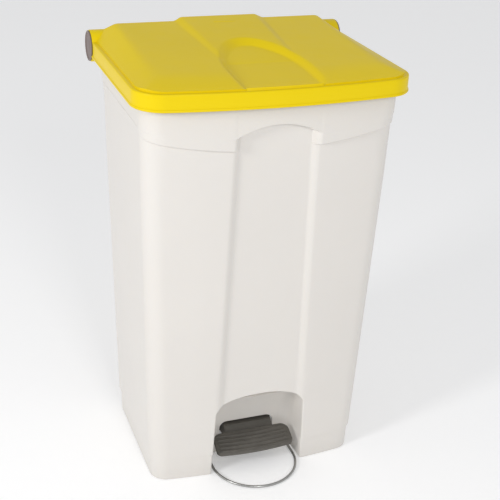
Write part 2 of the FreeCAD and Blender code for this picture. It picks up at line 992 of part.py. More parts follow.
def make_hinge_pins():
    """The two grey pins: a shaft through barrel and knuckle, and a dished cap outside."""
    shaft = rod(
        "pin_shaft",
        "pin_radius",
        "lid_half - knuckle_inner - 4.5",
        "knuckle_inner + 5",
        "hinge_back",
        "hinge_height",
        ALONG_X,
    )
    cap = rod(
        "pin_cap",
        "pin_cap_radius",
        "pin_cap_end - lid_half - 0.3",
        "lid_half + 0.3",
        "hinge_back",
        "hinge_height",
        ALONG_X,
    )
    dish = rod(
        "pin_dish",
        "pin_cap_radius - 4",
        "2",
        "pin_cap_end - 1.2",
        "hinge_back",
        "hinge_height",
        ALONG_X,
    )
    pin = cut("pin", fuse("pin_blank", [shaft, cap]), dish)
    keep(pin, "hinge_pin_right")
    keep(mirrored("pin_left", pin), "hinge_pin_left")


def lever_point(reach, side):
    """A point on the lid lever, given along and across its arm, as (y, z)."""
    y = f"hinge_back - ({reach}) * cos(lid_swing / 2) + ({side}) * sin(lid_swing / 2)"
    z = f"hinge_height - ({reach}) * sin(lid_swing / 2) - ({side}) * cos(lid_swing / 2)"
    return y, z


def lever_screw_bars(name, radius, low, length):
    """One upright bar for each of the four screws that hold the lever to the lid."""
    spots = [(x, y) for x in ("-12", "12") for y in ("146", "164")]
    return [rod(f"{name}_{n}", radius, length, x, y, low) for n, (x, y) in enumerate(spots)]


def make_lid_lever():
    """The steel lever under the lid, with the slot that the rod's cross pin runs in."""
    plate = slab(
        "lever_plate_blank",
        [
            ("142", "lever_seat - 2"),
            lever_point("lever_far", "-lever_edge"),
            lever_point("lever_far", "lever_edge"),
            lever_point("lever_near", "lever_edge"),
            ("172", "788"),
            ("168", "lever_seat - 2"),
        ],
        "lever_plate",
    )
    slot = slab(
        "lever_slot",
        [
            lever_point("lever_slot_near", "-lever_slot_half"),
            lever_point("lever_slot_far", "-lever_slot_half"),
            lever_point("lever_slot_far", "lever_slot_half"),
            lever_point("lever_slot_near", "lever_slot_half"),
        ],
        "lever_plate + 1",
    )
    ends = []
    for name, reach in (("near", "lever_slot_near"), ("far", "lever_slot_far")):
        y, z = lever_point(reach, "0")
        ends.append(rod(f"lever_slot_{name}_end", "lever_slot_half", "10", "-5", y, z, ALONG_X))
    flange = box("lever_flange", ("-18", "18"), ("138", "172"), ("lever_seat - 3", "lever_seat"))
    blank = fuse("lever_blank", [plate, flange])
    ways = fuse("lever_ways", [slot, *ends, *lever_screw_bars("lever_hole", "2", "lever_seat - 5", "8")])
    keep(cut("lever", blank, ways), "lid_lever")


def make_lever_screws():
    """Four screws that hold the lid lever up to the pad under the lid."""
    heads = lever_screw_bars("lever_screw_head", "4", "lever_seat - 5.2", "2.2")
    shafts = lever_screw_bars("lever_screw_shaft", "2", "lever_seat - 3.5", "7.5")
    screws = [fuse(f"lever_screw_{n}", list(pair)) for n, pair in enumerate(zip(heads, shafts))]
    keep(group("lever_screw_set", screws), "lid_lever_screws")


def make_rod():
    """The lift rod, its slotted head with a cross pin, and the collar and nut below."""
    across = dict(y="rod_back", z="rod_head", turn=ALONG_X)
    along = dict(x="0", y="rod_back")
    keep(rod("rod_bar", "rod_radius", "rod_head - 18 - rod_low", z="rod_low", **along), "lift_rod")
    near_rod = ("rod_back - 6.5", "rod_back + 6.5")
    block = box("clevis_block", ("-clevis_half", "clevis_half"), near_rod, ("rod_head - 26", "rod_head + 6"))
    gap = box(
        "clevis_slot",
        ("-clevis_gap", "clevis_gap"),
        ("rod_back - 8", "rod_back + 8"),
        ("rod_head - 16", "rod_head + 8"),
    )
    socket = rod("clevis_socket", "rod_radius", "8", z="rod_head - 26", **along)
    eye = rod("clevis_eye", "rod_pin_radius", "20", x="-10", **across)
    keep(cut("clevis", block, fuse("clevis_ways", [gap, socket, eye])), "rod_clevis")
    shaft = rod("cross_pin_shaft", "rod_pin_radius", "18", x="-9", **across)
    head = rod("cross_pin_head", "rod_pin_radius + 1.5", "1.6", x="-8.8", **across)
    keep(fuse("cross_pin", [shaft, head]), "rod_cross_pin")
    disc = rod("pin_clip_disc", "rod_pin_radius + 2", "0.8", x="7.4", **across)
    hole = rod("pin_clip_hole", "rod_pin_radius", "3", x="6", **across)
    keep(cut("pin_clip", disc, hole), "cross_pin_clip")
    collar = rod("rod_collar_disc", "7", "10", z="rod_stop", **along)
    way = rod("rod_collar_hole", "rod_radius", "12", z="rod_stop - 1", **along)
    keep(cut("rod_collar", collar, way), "rod_collar")
    nut = hexagon("rod_nut_blank", "5", "0", "rod_back", "7", "5")
    thread = rod("rod_nut_hole", "rod_radius", "12", z="4", **along)
    keep(cut("rod_nut", nut, thread), "rod_end_nut")


def hexagon(name, across_half, x, y, z, thick, turn=None):
    """A hexagonal head or nut that stands on a point."""
    prism = doc.addObject("Part::Prism", name)
    prism.Polygon = 6
    put(prism, x, y, z, turn)
    return bind(prism, Circumradius=f"{across_half} / cos(30)", Height=thick)


def cover_face(height):
    """Where the outer face of the rod cover is, at a height."""
    return f"{at_height('tub_back_low', 'tub_back_high', height)} + cover_proud"


def cover_screw_bars(name, radius, start, length):
    """One bar for each of the cover's four screws, from a distance behind its face."""
    bars = []
    for index, (height, x) in enumerate((z, x) for z in ("211", "611") for x in ("-15", "15")):
        y = f"{cover_face(height)} + {start}"
        bars.append(rod(f"{name}_{index}", radius, length, x, y, height, ALONG_Y))
    return bars


def make_rod_guides():
    """Two plastic guides across the channel, which the cover is screwed to."""
    guides = []
    for name, low in (("low", "200"), ("high", "600")):
        block = box(
            f"guide_{name}",
            ("0.2 - channel_half", "channel_half - 0.2"),
            ("channel_face", f"{cover_face(low)} - cover_wall - 0.3"),
            (low, f"{low} + 22"),
        )
        way = rod(f"guide_way_{name}", "rod_radius + 0.35", "40", "0", "rod_back", f"{low} - 5")
        guides.append(cut(f"guide_block_{name}", block, way))
    holes = cover_screw_bars("guide_hole", "2", "-15", "15")
    keep(cut("guides", group("guide_pair", guides), fuse("guide_holes", holes)), "rod_guides")


def make_rod_cover():
    """The shallow cover over the rod channel, and the screws that hold it."""
    outer = box(
        "cover_outer", ("-cover_half", "cover_half"), ("0", "cover_proud"), ("cover_low", "cover_high")
    )
    inner = box(
        "cover_inner",
        ("cover_wall - cover_half", "cover_half - cover_wall"),
        ("-1", "cover_proud - cover_wall"),
        ("cover_low - 1", "cover_high - cover_wall"),
    )
    shell = cut("cover", outer, inner)
    rise = size_of("tub_back_high - tub_back_low")
    lean = math.degrees(math.atan2(rise, size_of("rim_height")))
    put(shell, y="tub_back_low", turn=Rotation(Vector(1, 0, 0), -lean))
    holes = cover_screw_bars("cover_hole", "2", "-8", "12")
    keep(cut("cover_drilled", shell, fuse("cover_holes", holes)), "rod_channel_cover")
    shafts = cover_screw_bars("cover_shaft", "2", "-14", "14.5")
    heads = cover_screw_bars("cover_head", "3.8", "0.2", "2")
    screws = [fuse(f"cover_screw_{n}", list(pair)) for n, pair in enumerate(zip(shafts, heads))]
    keep(group("cover_screw_set", screws), "cover_screws")


BOLT_PLACES = ("-38", "-16")


def pedal_turn():
    """How far the pedal's rear arm points down at rest."""
    return Rotation(Vector(1, 0, 0), -size_of("pedal_swing") / 2)


def pedal_part(thing):
    """Moves a piece drawn level about the pivot to its place at rest."""
    return put(thing, y="-pivot_front", z="pivot_height", turn=pedal_turn())


def make_pedal_lever():
    """The steel channel under the pedal arm, with the rod's hole at its rear end."""
    outer = box(
        "lever_outer",
        ("-channel_width / 2", "channel_width / 2"),
        ("-46", "pedal_reach + 9"),
        ("-channel_height / 2", "channel_height / 2"),
    )
    inner = box(
        "lever_inner",
        ("channel_wall - channel_width / 2", "channel_width / 2 - channel_wall"),
        ("-47", "pedal_reach + 12"),
        ("-channel_height", "channel_height / 2 - channel_wall"),
    )
    hole = rod("lever_rod_hole", "5.2", "channel_height", y="pedal_reach", z="-1")
    bore = rod("lever_bore", "axle_radius + 0.3", "60", x="-30", turn=ALONG_X)
    bolts = [rod(f"lever_bolt_hole_{n}", "2.6", "20", y=y, z="0") for n, y in enumerate(BOLT_PLACES)]
    lever = cut("pedal_channel", outer, fuse("lever_holes", [inner, hole, bore, *bolts]))
    keep(pedal_part(lever), "pedal_lever")


def make_pedal_arm():
    """The grey moulded arm that carries the tread through the slot to the pivot."""
    top = [("-10", "52"), ("-34", "58"), ("-66", "66.5"), ("-86", "66.5"), ("-97", "55.5"), ("-131", "40.3")]
    under = [("-131", "34"), ("-100", "41"), ("-62", "40"), ("-40", "26"), ("-10", "26")]
    outer = slab("arm_outer", top + under, "arm_half")
    inner_top = [("-5", "48"), ("-33", "53.8"), ("-66.5", "62.5"), ("-84.5", "62.5"), ("-95", "51.5"), ("-127", "37")]
    inner = slab("arm_inner", inner_top + [("-127", "10"), ("-5", "10")], "arm_half - arm_wall")
    bosses = [rod(f"arm_boss_{n}", "6.5", "30", y=y, z="8") for n, y in enumerate(BOLT_PLACES)]
    under_top = slab("arm_boss_limit", [("-4", "30"), ("-5", "51"), ("-33", "56"), ("-66", "64"), ("-70", "30")], "30")
    pads = common("arm_bosses", [pedal_part(fuse("arm_boss_pair", bosses)), under_top])
    bush_holes = rod("arm_bush_hole", "bush_radius", "120", x="-60", y="-pivot_front", z="pivot_height", turn=ALONG_X)
    bolt_holes = [rod(f"arm_bolt_hole_{n}", "2.5", "18", y=y, z="4") for n, y in enumerate(BOLT_PLACES)]
    shell = cut("arm_shell", outer, inner)
    arm = fuse("arm_blank", [shell, pads])
    bolt_ways = pedal_part(fuse("arm_bolt_ways", bolt_holes))
    keep(cut("arm", arm, fuse("arm_holes", [bush_holes, bolt_ways])), "pedal_arm")


def make_lever_bolts():
    """Two bolts up through the channel into the arm."""
    bolts = []
    for index, y in enumerate(BOLT_PLACES):
        head = hexagon(f"lever_bolt_head_{index}", "4", "0", y, "channel_height / 2 - channel_wall - 3.5", "3.5")
        shaft = rod(f"lever_bolt_shaft_{index}", "2.5", "14", y=y, z="channel_height / 2 - channel_wall - 0.5")
        bolts.append(pedal_part(fuse(f"lever_bolt_{index}", [head, shaft])))
    keep(group("lever_bolt_pair", bolts), "lever_bolts")


def make_tread():
    """The grey tread: a sloping plate with rounded nose, chamfered corners and cross ribs."""
    body = doc.addObject("PartDesign::Body", "tread")
    plane = next(item for item in body.Origin.OriginFeatures if item.Role == "XY_Plane")
    plate = body.newObject("Sketcher::SketchObject", "tread_plan")
    plate.AttachmentSupport = [(plane, "")]
    plate.MapMode = "FlatFace"
    sketch_polygon("tread_plan", [
        ("-tread_half", "0"),
        ("-tread_half", "tread_chamfer - tread_depth"),
        ("tread_chamfer - tread_half", "-tread_depth"),
        ("tread_half - tread_chamfer", "-tread_depth"),
        ("tread_half", "tread_chamfer - tread_depth"),
        ("tread_half", "0"),
    ], plate)
    pad = body.newObject("PartDesign::Pad", "tread_pad")
    pad.Profile = plate
    bind(pad, Length="tread_thick")
    doc.recompute()
    soften(body, pad, "tread_nose", nose_edge, "4")
    rib = body.newObject("Sketcher::SketchObject", "rib_plan")
    rib.AttachmentSupport = [(plane, "")]
    rib.MapMode = "FlatFace"
    rib.setExpression("AttachmentOffset.Base.z", linked("tread_thick - 0.5"))
    sketch_polygon("rib_plan", [
        ("6 - tread_half", "-3"),
        ("6 - tread_half", "-3 - rib_width"),
        ("tread_half - 6", "-3 - rib_width"),
        ("tread_half - 6", "-3"),
    ], rib)
    rib_pad = body.newObject("PartDesign::Pad", "rib_pad")
    rib_pad.Profile = rib
    bind(rib_pad, Length="rib_height + 0.5")
    doc.recompute()
    pattern = body.newObject("PartDesign::LinearPattern", "ribs")
    pattern.Originals = [rib_pad]
    pattern.Direction = (rib, ["V_Axis"])
    pattern.Reversed = True
    pattern.Occurrences = 5
    bind(pattern, Length="4 * rib_pitch")
    body.Tip = pattern
    doc.recompute()
    lean = Rotation(Vector(1, 0, 0), size_of("tread_tilt"))
    keep(put(body, y="-97", z="55.8", turn=lean), "pedal_tread")


def nose_edge(edge):
    """Whether an edge is the long upper one at the tread's front."""
    middle = edge.BoundBox.Center
    return (
        abs(middle.y + size_of("tread_depth")) < 0.1
        and abs(middle.z - size_of("tread_thick")) < 0.1
        and edge.Length > 20
    )


def soften(body, base, name, wanted, radius):
    """Rounds the chosen edges of a body's last feature."""
    names = [f"Edge{n}" for n, edge in enumerate(base.Shape.Edges, start=1) if wanted(edge)]
    fillet = body.newObject("PartDesign::Fillet", name)
    fillet.Base = (base, names)
    bind(fillet, Radius=radius)
    doc.recompute()
    return fillet


def make_pivot():
    """The pedal's axle with its clips, the bushes in the arm and the bearing blocks."""
    across = dict(y="-pivot_front", z="pivot_height", turn=ALONG_X)
    keep(rod("axle", "axle_radius", "2 * bearing_outer + 10", x="-bearing_outer - 5", **across), "pedal_axle")
    sleeve = rod("bush_sleeve", "bush_radius", "arm_wall + 6", x="arm_half - arm_wall - 6", **across)
    rim = rod("bush_rim", "bush_radius + 3", "1.8", x="arm_half", **across)
    bore = rod("bush_bore", "axle_radius + bush_clearance", "60", x="arm_half - 30", **across)
    bush = cut("bush", fuse("bush_blank", [sleeve, rim]), bore)
    keep(group("bush_pair", [bush, mirrored("bush_left", bush)]), "pedal_bushes")
    disc = rod("axle_clip_disc", "axle_radius + 4", "1.2", x="bearing_outer + 0.4", **across)
    hole = rod("axle_clip_hole", "axle_radius", "8", x="bearing_outer - 2", **across)
    clip = cut("axle_clip", disc, hole)
    keep(group("axle_clip_pair", [clip, mirrored("axle_clip_left", clip)]), "axle_clips")
    block = box(
        "bearing_block",
        ("bearing_inner", "bearing_outer"),
        ("-pivot_front - 15", "15 - pivot_front"),
        ("pivot_height - 13", "floor_low"),
    )
    flange = box(
        "bearing_flange",
        ("bearing_outer - 1", "bearing_outer + 16"),
        ("-pivot_front - 15", "15 - pivot_front"),
        ("floor_low - 6", "floor_low"),
    )
    ways = [rod("bearing_bore", "axle_radius", "30", x="bearing_inner - 5", **across)]
    screws = []
    for index, y in enumerate(("-8", "8")):
        place = dict(x="bearing_outer + 9", y=f"{y} - pivot_front")
        ways.append(rod(f"bearing_hole_{index}", "screw_radius", "12", z="floor_low - 8", **place))
        head = rod(f"bearing_head_{index}", "4.5", "2.6", z="floor_low - 8.6", **place)
        shaft = rod(f"bearing_shaft_{index}", "screw_radius", "9", z="floor_low - 6.2", **place)
        screws.append(fuse(f"bearing_screw_{index}", [head, shaft]))
    bearing = cut("bearing", fuse("bearing_blank", [block, flange]), fuse("bearing_ways", ways))
    keep(bearing, "pedal_bearing_right")
    keep(mirrored("bearing_left", bearing), "pedal_bearing_left")
    screws += [mirrored(f"bearing_screw_left_{n}", screw) for n, screw in enumerate(screws)]
    keep(group("bearing_screw_set", screws), "bearing_screws")


def bend(name, radius, x, y, z, turn, angle):
    """Part of a ring of wire round a point."""
    ring = doc.addObject("Part::Torus", name)
    put(ring, x, y, z, turn)
    return bind(ring, Radius1=radius, Radius2="wire_radius", Angle3=angle)


def make_stabiliser():
    """The wire loop on the floor in front of the bin, and the blocks that hold its legs."""
    front = bend("loop_front_bend", "loop_radius", "0", "-loop_front", "wire_height",
                 Rotation(Vector(0, 0, 1), 180), "180")
    leg = rod("loop_leg", "wire_radius", "loop_front - loop_back - wire_bend",
              "loop_radius", "-loop_front", "wire_height", ALONG_Y)
    turn = Rotation(Vector(0, 1, 0), Vector(0, 0, 1), Vector(1, 0, 0), "XYZ")
    corner = bend("loop_corner", "wire_bend", "loop_radius", "-loop_back - wire_bend",
                  "wire_height + wire_bend", turn.multiply(Rotation(Vector(0, 0, 1), -90)), "90")
    upright = rod("loop_upright", "wire_radius", "floor_low - 2 - wire_height - wire_bend",
                  "loop_radius", "-loop_back", "wire_height + wire_bend")
    side = [leg, corner, upright]
    left = [mirrored(part.Name + "_left", part) for part in side]
    keep(fuse("loop", [front, *side, *left]), "stabiliser_loop")
    block = box("loop_block", ("loop_radius - 9", "loop_radius + 21"),
                ("-loop_back - 9", "-loop_back + 9"), ("floor_low - 22", "floor_low"))
    ways = [
        rod("loop_block_bore", "wire_radius", "26", "loop_radius", "-loop_back", "floor_low - 28"),
        rod("loop_block_hole", "screw_radius", "40", "loop_radius + 14", "-loop_back", "floor_low - 30"),
    ]
    socket = cut("loop_socket", block, fuse("loop_block_ways", ways))
    keep(group("loop_socket_pair", [socket, mirrored("loop_socket_left", socket)]), "loop_sockets")
    shaft = rod("loop_screw_shaft", "screw_radius", "25", "loop_radius + 14", "-loop_back", "floor_low - 22.2")
    head = rod("loop_screw_head", "4.5", "2.6", "loop_radius + 14", "-loop_back", "floor_low - 24.6")
    screw = fuse("loop_screw", [head, shaft])
    keep(group("loop_screw_pair", [screw, mirrored("loop_screw_left", screw)]), "loop_screws")


def make_feet():
    """Four rubber feet pressed into the posts."""
    feet = []
    for name, y in (("front", "-foot_front"), ("back", "foot_back")):
        plug = rod(f"foot_{name}", "foot_radius - 0.2", "5.5", "foot_side", y, "0")
        feet += [plug, mirrored(f"foot_{name}_left", plug)]
    keep(group("foot_set", feet), "rubber_feet")


def make_buffers():
    """Two rubber buffers on the front of the rim that the lid comes down on."""
    block = box("buffer_block", ("108", "132"), ("-176", "-167"), ("rim_height", "rim_height + 10"))
    buffers = [block, mirrored("buffer_left", block)]
    keep(group("buffer_pair", buffers), "rim_buffers")


def main():
    """Builds every sub-part, checks them all and writes their files."""
    fill_sheet()
    make_tub()
    make_lid()
    make_hinge_pins()
    make_lid_lever()
    make_lever_screws()
    make_rod()
    make_rod_guides()
    make_rod_cover()
    make_pedal_lever()
    make_pedal_arm()
    make_lever_bolts()
    make_tread()
    make_pivot()
    make_stabiliser()
    make_feet()
    make_buffers()
    check_document()
    export()


main()
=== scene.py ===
"""The looks of a tall pedal bin with a domed lid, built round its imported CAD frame.

Shapes are worked out in millimetres in the frame's own axes, with -Y the front, +X the right and
+Z up, and become metres as each mesh is made.
"""

import json
import logging
import math
from dataclasses import dataclass
from enum import Enum

import bmesh
import bpy
import numpy as np
from mathutils import Matrix, Vector

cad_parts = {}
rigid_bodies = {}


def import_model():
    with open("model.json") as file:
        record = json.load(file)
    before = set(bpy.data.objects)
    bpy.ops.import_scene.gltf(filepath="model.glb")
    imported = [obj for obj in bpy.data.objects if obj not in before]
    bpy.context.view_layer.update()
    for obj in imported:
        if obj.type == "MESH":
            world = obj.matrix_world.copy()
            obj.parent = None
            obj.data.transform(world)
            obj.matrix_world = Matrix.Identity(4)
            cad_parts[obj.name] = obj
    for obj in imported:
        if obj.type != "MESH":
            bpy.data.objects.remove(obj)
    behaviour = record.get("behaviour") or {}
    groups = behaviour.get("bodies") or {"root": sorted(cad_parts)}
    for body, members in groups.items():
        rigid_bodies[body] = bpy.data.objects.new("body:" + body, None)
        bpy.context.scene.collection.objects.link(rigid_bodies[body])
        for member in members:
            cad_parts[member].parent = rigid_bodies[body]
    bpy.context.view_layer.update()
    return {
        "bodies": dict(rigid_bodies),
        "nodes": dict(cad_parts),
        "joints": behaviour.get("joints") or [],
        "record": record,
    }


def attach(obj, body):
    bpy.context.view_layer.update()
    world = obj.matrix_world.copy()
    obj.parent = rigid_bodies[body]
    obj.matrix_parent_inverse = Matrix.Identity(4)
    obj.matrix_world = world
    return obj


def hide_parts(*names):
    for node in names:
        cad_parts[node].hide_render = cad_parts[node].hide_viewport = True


log = logging.getLogger("pedal_bin")

MM = 0.001
RIGHT_ANGLE = math.pi / 2
HINGE = (184.8, 782.8)
SIDES = (-1.0, 1.0)
MIRROR = np.array([-1.0, 1.0, 1.0])

Thing = bpy.types.Object
Tree = bpy.types.ShaderNodeTree
Node = bpy.types.Node
Colour = tuple[float, float, float]


class Body(Enum):
    """The moving bodies that the remade pieces ride on."""

    STAND = "stand"
    LID = "lid"
    PEDAL = "pedal"


class Axis(Enum):
    """The axis that a prism runs along."""

    X = 0
    Y = 1
    Z = 2


class Socket(Enum):
    """The kinds of socket that the shared effects have."""

    COLOUR = "NodeSocketColor"
    NUMBER = "NodeSocketFloat"


# ---------------------------------------------------------------- shared shapes


def smooth(value: np.ndarray, low: float, high: float) -> np.ndarray:
    """Rises smoothly from 0 at low to 1 at high.

    Args:
        value: Where it is read.
        low: The value that gives 0.
        high: The value that gives 1.

    Returns:
        The eased share, from 0 to 1.
    """
    share = np.clip((value - low) / (high - low), 0.0, 1.0)
    return share * share * (3.0 - 2.0 * share)


def ramp(value: np.ndarray, width: float, ease: float) -> np.ndarray:
    """A straight slope from 0 to 1 with eased ends.

    Args:
        value: Distance from the slope's foot.
        width: The slope's whole run.
        ease: Share of the run that is eased at each end.

    Returns:
        The eased share, from 0 to 1.
    """
    share = np.clip(value / width, 0.0, 1.0)
    gain = 1.0 / (1.0 - ease)
    foot = gain * share * share / (2.0 * ease)
    middle = gain * (share - ease / 2.0)
    head = 1.0 - gain * (1.0 - share) ** 2 / (2.0 * ease)
    return np.where(share < ease, foot, np.where(share > 1.0 - ease, head, middle))


def soft_min(one: np.ndarray, other: np.ndarray, blend: float) -> np.ndarray:
    """The smaller of two heights, rounded over where they meet.

    Args:
        one: First height.
        other: Second height.
        blend: Height over which the corner is rounded.

    Returns:
        The blended height.
    """
    share = np.clip(0.5 + 0.5 * (other - one) / blend, 0.0, 1.0)
    return other + (one - other) * share - blend * share * (1.0 - share)


def arch_inside(
    across: np.ndarray, up: np.ndarray, half: float, spring: float, rise: float, power: float
) -> np.ndarray:
    """How far a point is inside an arch-topped outline.

    Args:
        across: Distance from the arch's middle line.
        up: Height of the point.
        half: The arch's half width.
        spring: Height where the straight sides end.
        rise: Height of the rounded top over the spring line.
        power: How square the top's shoulders are.

    Returns:
        The distance, positive inside.
    """
    side = half - np.abs(across)
    share_x = np.abs(across) / half
    share_y = np.maximum(up - spring, 0.0) / rise
    total = np.maximum((share_x**power + share_y**power) ** (1.0 / power), 1e-6)
    slope_x = (share_x / total) ** (power - 1.0) / half
    slope_y = (share_y / total) ** (power - 1.0) / rise
    steepness = np.maximum(np.hypot(slope_x, slope_y), 1e-9)
    return np.where(up > spring, (1.0 - total) / steepness, side)


def arc(
    centre: tuple[float, float], radius: float, start: float, end: float, count: int
) -> tuple[np.ndarray, np.ndarray]:
    """Points round an arc, without its first one.

    Args:
        centre: The arc's centre.
        radius: Its radius.
        start: Angle where it starts.
        end: Angle where it ends.
        count: Points round it, the first one included.

    Returns:
        The points, and the directions out from the centre.
    """
    angles = np.linspace(start, end, count)[1:]
    out = np.stack([np.cos(angles), np.sin(angles)], axis=1)
    return np.array(centre) + radius * out, out


def place(name: str, data: bpy.types.ID) -> Thing:
    """Puts new data in the scene as an object of the same name."""
    thing = bpy.data.objects.new(name, data)
    bpy.context.scene.collection.objects.link(thing)
    return thing


class Sheet:
    """A growing set of points and faces that becomes one mesh."""

    def __init__(self) -> None:
        """Starts with no points."""
        self.points: list[np.ndarray] = []
        self.faces: list[tuple[int, ...]] = []
        self.count = 0

    def grid(self, rows: np.ndarray, loop: bool = False) -> np.ndarray:
        """Adds a grid of quads.

        Args:
            rows: Points as an array of rows by columns by three.
            loop: Joins the last column to the first.

        Returns:
            The number of each point, rows by columns.
        """
        high, wide = rows.shape[:2]
        index = np.arange(high * wide).reshape(high, wide) + self.count
        self.points.append(rows.reshape(-1, 3))
        self.count += high * wide
        for row in range(high - 1):
            for column in range(wide if loop else wide - 1):
                after = (column + 1) % wide
                corners = (
                    index[row, column], index[row, after],
                    index[row + 1, after], index[row + 1, column],
                )
                self.faces.append(tuple(int(number) for number in corners))
        return index

    def pair(self, rows: np.ndarray) -> None:
        """Adds a grid of quads and its mirror image across the middle."""
        self.grid(rows)
        self.grid(rows * MIRROR)

    def cap(self, loop: np.ndarray) -> None:
        """Adds one flat face over a closed row of points."""
        self.faces.append(tuple(int(number) for number in loop))

    def make(self, name: str, merge: float) -> Thing:
        """Makes the mesh object, with shared points joined and every face turned outward.

        Args:
            name: The object's name.
            merge: Points nearer than this become one.

        Returns:
            The new object, in the scene.
        """
        mesh = bpy.data.meshes.new(name)
        mesh.from_pydata(np.vstack(self.points).tolist(), [], self.faces)
        build = bmesh.new()
        build.from_mesh(mesh)
        bmesh.ops.remove_doubles(build, verts=build.verts, dist=merge)
        bmesh.ops.dissolve_degenerate(build, edges=build.edges, dist=1e-6)
        bmesh.ops.recalc_face_normals(build, faces=build.faces)
        build.to_mesh(mesh)
        build.free()
        return place(name, mesh)


def apply_all(thing: Thing) -> Thing:
    """Turns an object's modifiers into plain mesh.

    Args:
        thing: The object.

    Returns:
        The same object.
    """
    bpy.context.view_layer.update()
    graph = bpy.context.evaluated_depsgraph_get()
    mesh = bpy.data.meshes.new_from_object(thing.evaluated_get(graph))
    thing.modifiers.clear()
    thing.data = mesh
    return thing


def thicken(thing: Thing, wall: float, even: bool = False) -> Thing:
    """Gives a sheet a wall on its inner side.

    Args:
        thing: The sheet.
        wall: The wall's thickness in millimetres.
        even: Keeps the thickness even where the sheet turns.

    Returns:
        The same object, closed.
    """
    thick = thing.modifiers.new("wall", "SOLIDIFY")
    thick.thickness = wall * MM
    thick.offset = -1.0
    thick.use_rim = True
    thick.use_even_offset = even
    return apply_all(thing)


def shade(thing: Thing, degrees: float) -> Thing:
    """Shades smoothly, with creases kept where faces turn sharply.

    Args:
        thing: The object.
        degrees: Faces that turn by more than this keep their edge.

    Returns:
        The same object.
    """
    thing.data.shade_smooth()
    thing.data.set_sharp_from_angle(angle=math.radians(degrees))
    return thing


def join(name: str, things: list[Thing]) -> Thing:
    """Joins meshes into one object.

    Args:
        name: The new object's name.
        things: The objects, which go away.

    Returns:
        The joined object.
    """
    build = bmesh.new()
    for thing in things:
        copy = thing.data.copy()
        copy.transform(thing.matrix_world)
        build.from_mesh(copy)
        bpy.data.meshes.remove(copy)
    mesh = bpy.data.meshes.new(name)
    build.to_mesh(mesh)
    build.free()
    for thing in things:
        bpy.data.objects.remove(thing)
    return place(name, mesh)


def turned(
    name: str,
    profile: list[tuple[float, float]],
    origin: tuple[float, float, float],
    axis: tuple[float, float, float],
    around: int,
) -> Thing:
    """A turned piece: a profile of (radius, distance along the axis) spun round an axis.

    Args:
        name: The object's name.
        profile: Radii and distances in millimetres.
        origin: Where the axis starts, in millimetres.
        axis: The axis's direction.
        around: Points round the piece.

    Returns:
        The new object.
    """
    along = Vector(axis).normalized()
    side = along.orthogonal().normalized()
    up = along.cross(side)
    rows = []
    for radius, far in profile:
        ring = []
        for step in range(around):
            angle = 2.0 * math.pi * step / around
            spot = Vector(origin) + along * far
            spot += (side * math.cos(angle) + up * math.sin(angle)) * radius
            ring.append(tuple(spot * MM))
        rows.append(ring)
    sheet = Sheet()
    sheet.grid(np.array(rows), loop=True)
    return sheet.make(name, merge=1e-6)


def tube(name: str, path: np.ndarray, radius: float, around: int) -> Thing:
    """A round bar along a path, closed at both ends.

    Args:
        name: The object's name.
        path: Points in millimetres.
        radius: The bar's radius in millimetres.
        around: Points round the bar.

    Returns:
        The new object.
    """
    steps = np.gradient(path, axis=0)
    steps /= np.linalg.norm(steps, axis=1)[:, None]
    side = np.cross(steps[0], [0.13, 0.21, 0.97])
    angles = np.linspace(0.0, 2.0 * math.pi, around, endpoint=False)[:, None]
    rings = []
    for spot, along in zip(path, steps):
        side = side - along * np.dot(side, along)
        side /= np.linalg.norm(side)
        up = np.cross(along, side)
        rings.append(spot + radius * (np.cos(angles) * side + np.sin(angles) * up))
    sheet = Sheet()
    index = sheet.grid(np.array(rings) * MM, loop=True)
    sheet.cap(index[0])
    sheet.cap(index[-1])
    return sheet.make(name, merge=1e-6)


def block(name: str, spans: tuple[tuple[float, float], ...], bevel: float = 0.0) -> Thing:
    """A block, with rounded edges if they are asked for.

    Args:
        name: The object's name.
        spans: Its two ends in x, y and z, in millimetres.
        bevel: Radius of its edges in millimetres.

    Returns:
        The new object.
    """
    mesh = bpy.data.meshes.new(name)
    build = bmesh.new()
    bmesh.ops.create_cube(build, size=1.0)
    for vert in build.verts:
        vert.co = [(min(span) if at < 0 else max(span)) * MM for span, at in zip(spans, vert.co)]
    if bevel:
        bmesh.ops.bevel(
            build,
            geom=build.edges[:],
            offset=bevel * MM,
            segments=3,
            profile=0.5,
            affect="EDGES",
        )
    build.to_mesh(mesh)
    build.free()
    return place(name, mesh)


def prism(name: str, outline: np.ndarray, axis: Axis, span: tuple[float, float]) -> Thing:
    """A solid with the same outline all along one axis.

    Args:
        name: The object's name.
        outline: Points in millimetres in the other two axes, in order.
        axis: The axis it runs along.
        span: Where it starts and ends on that axis.

    Returns:
        The new object.
    """
    ends = [np.insert(outline, axis.value, spot, axis=1) for spot in span]
    sheet = Sheet()
    index = sheet.grid(np.array(ends) * MM, loop=True)
    sheet.cap(index[0])
    sheet.cap(index[1])
    return sheet.make(name, merge=1e-7)


def carve(thing: Thing, tools: list[Thing]) -> Thing:
    """Cuts tools out of a closed mesh.

    Args:
        thing: The mesh that is cut.
        tools: The cutting meshes, which go away.

    Returns:
        The same object, cut.
    """
    for tool in tools:
        step = thing.modifiers.new(f"cut_{tool.name}", "BOOLEAN")
        step.operation = "DIFFERENCE"
        step.solver = "MANIFOLD"
        step.object = tool
    apply_all(thing)
    for tool in tools:
        bpy.data.objects.remove(tool)
    return thing


# ---------------------------------------------------------------- finishes


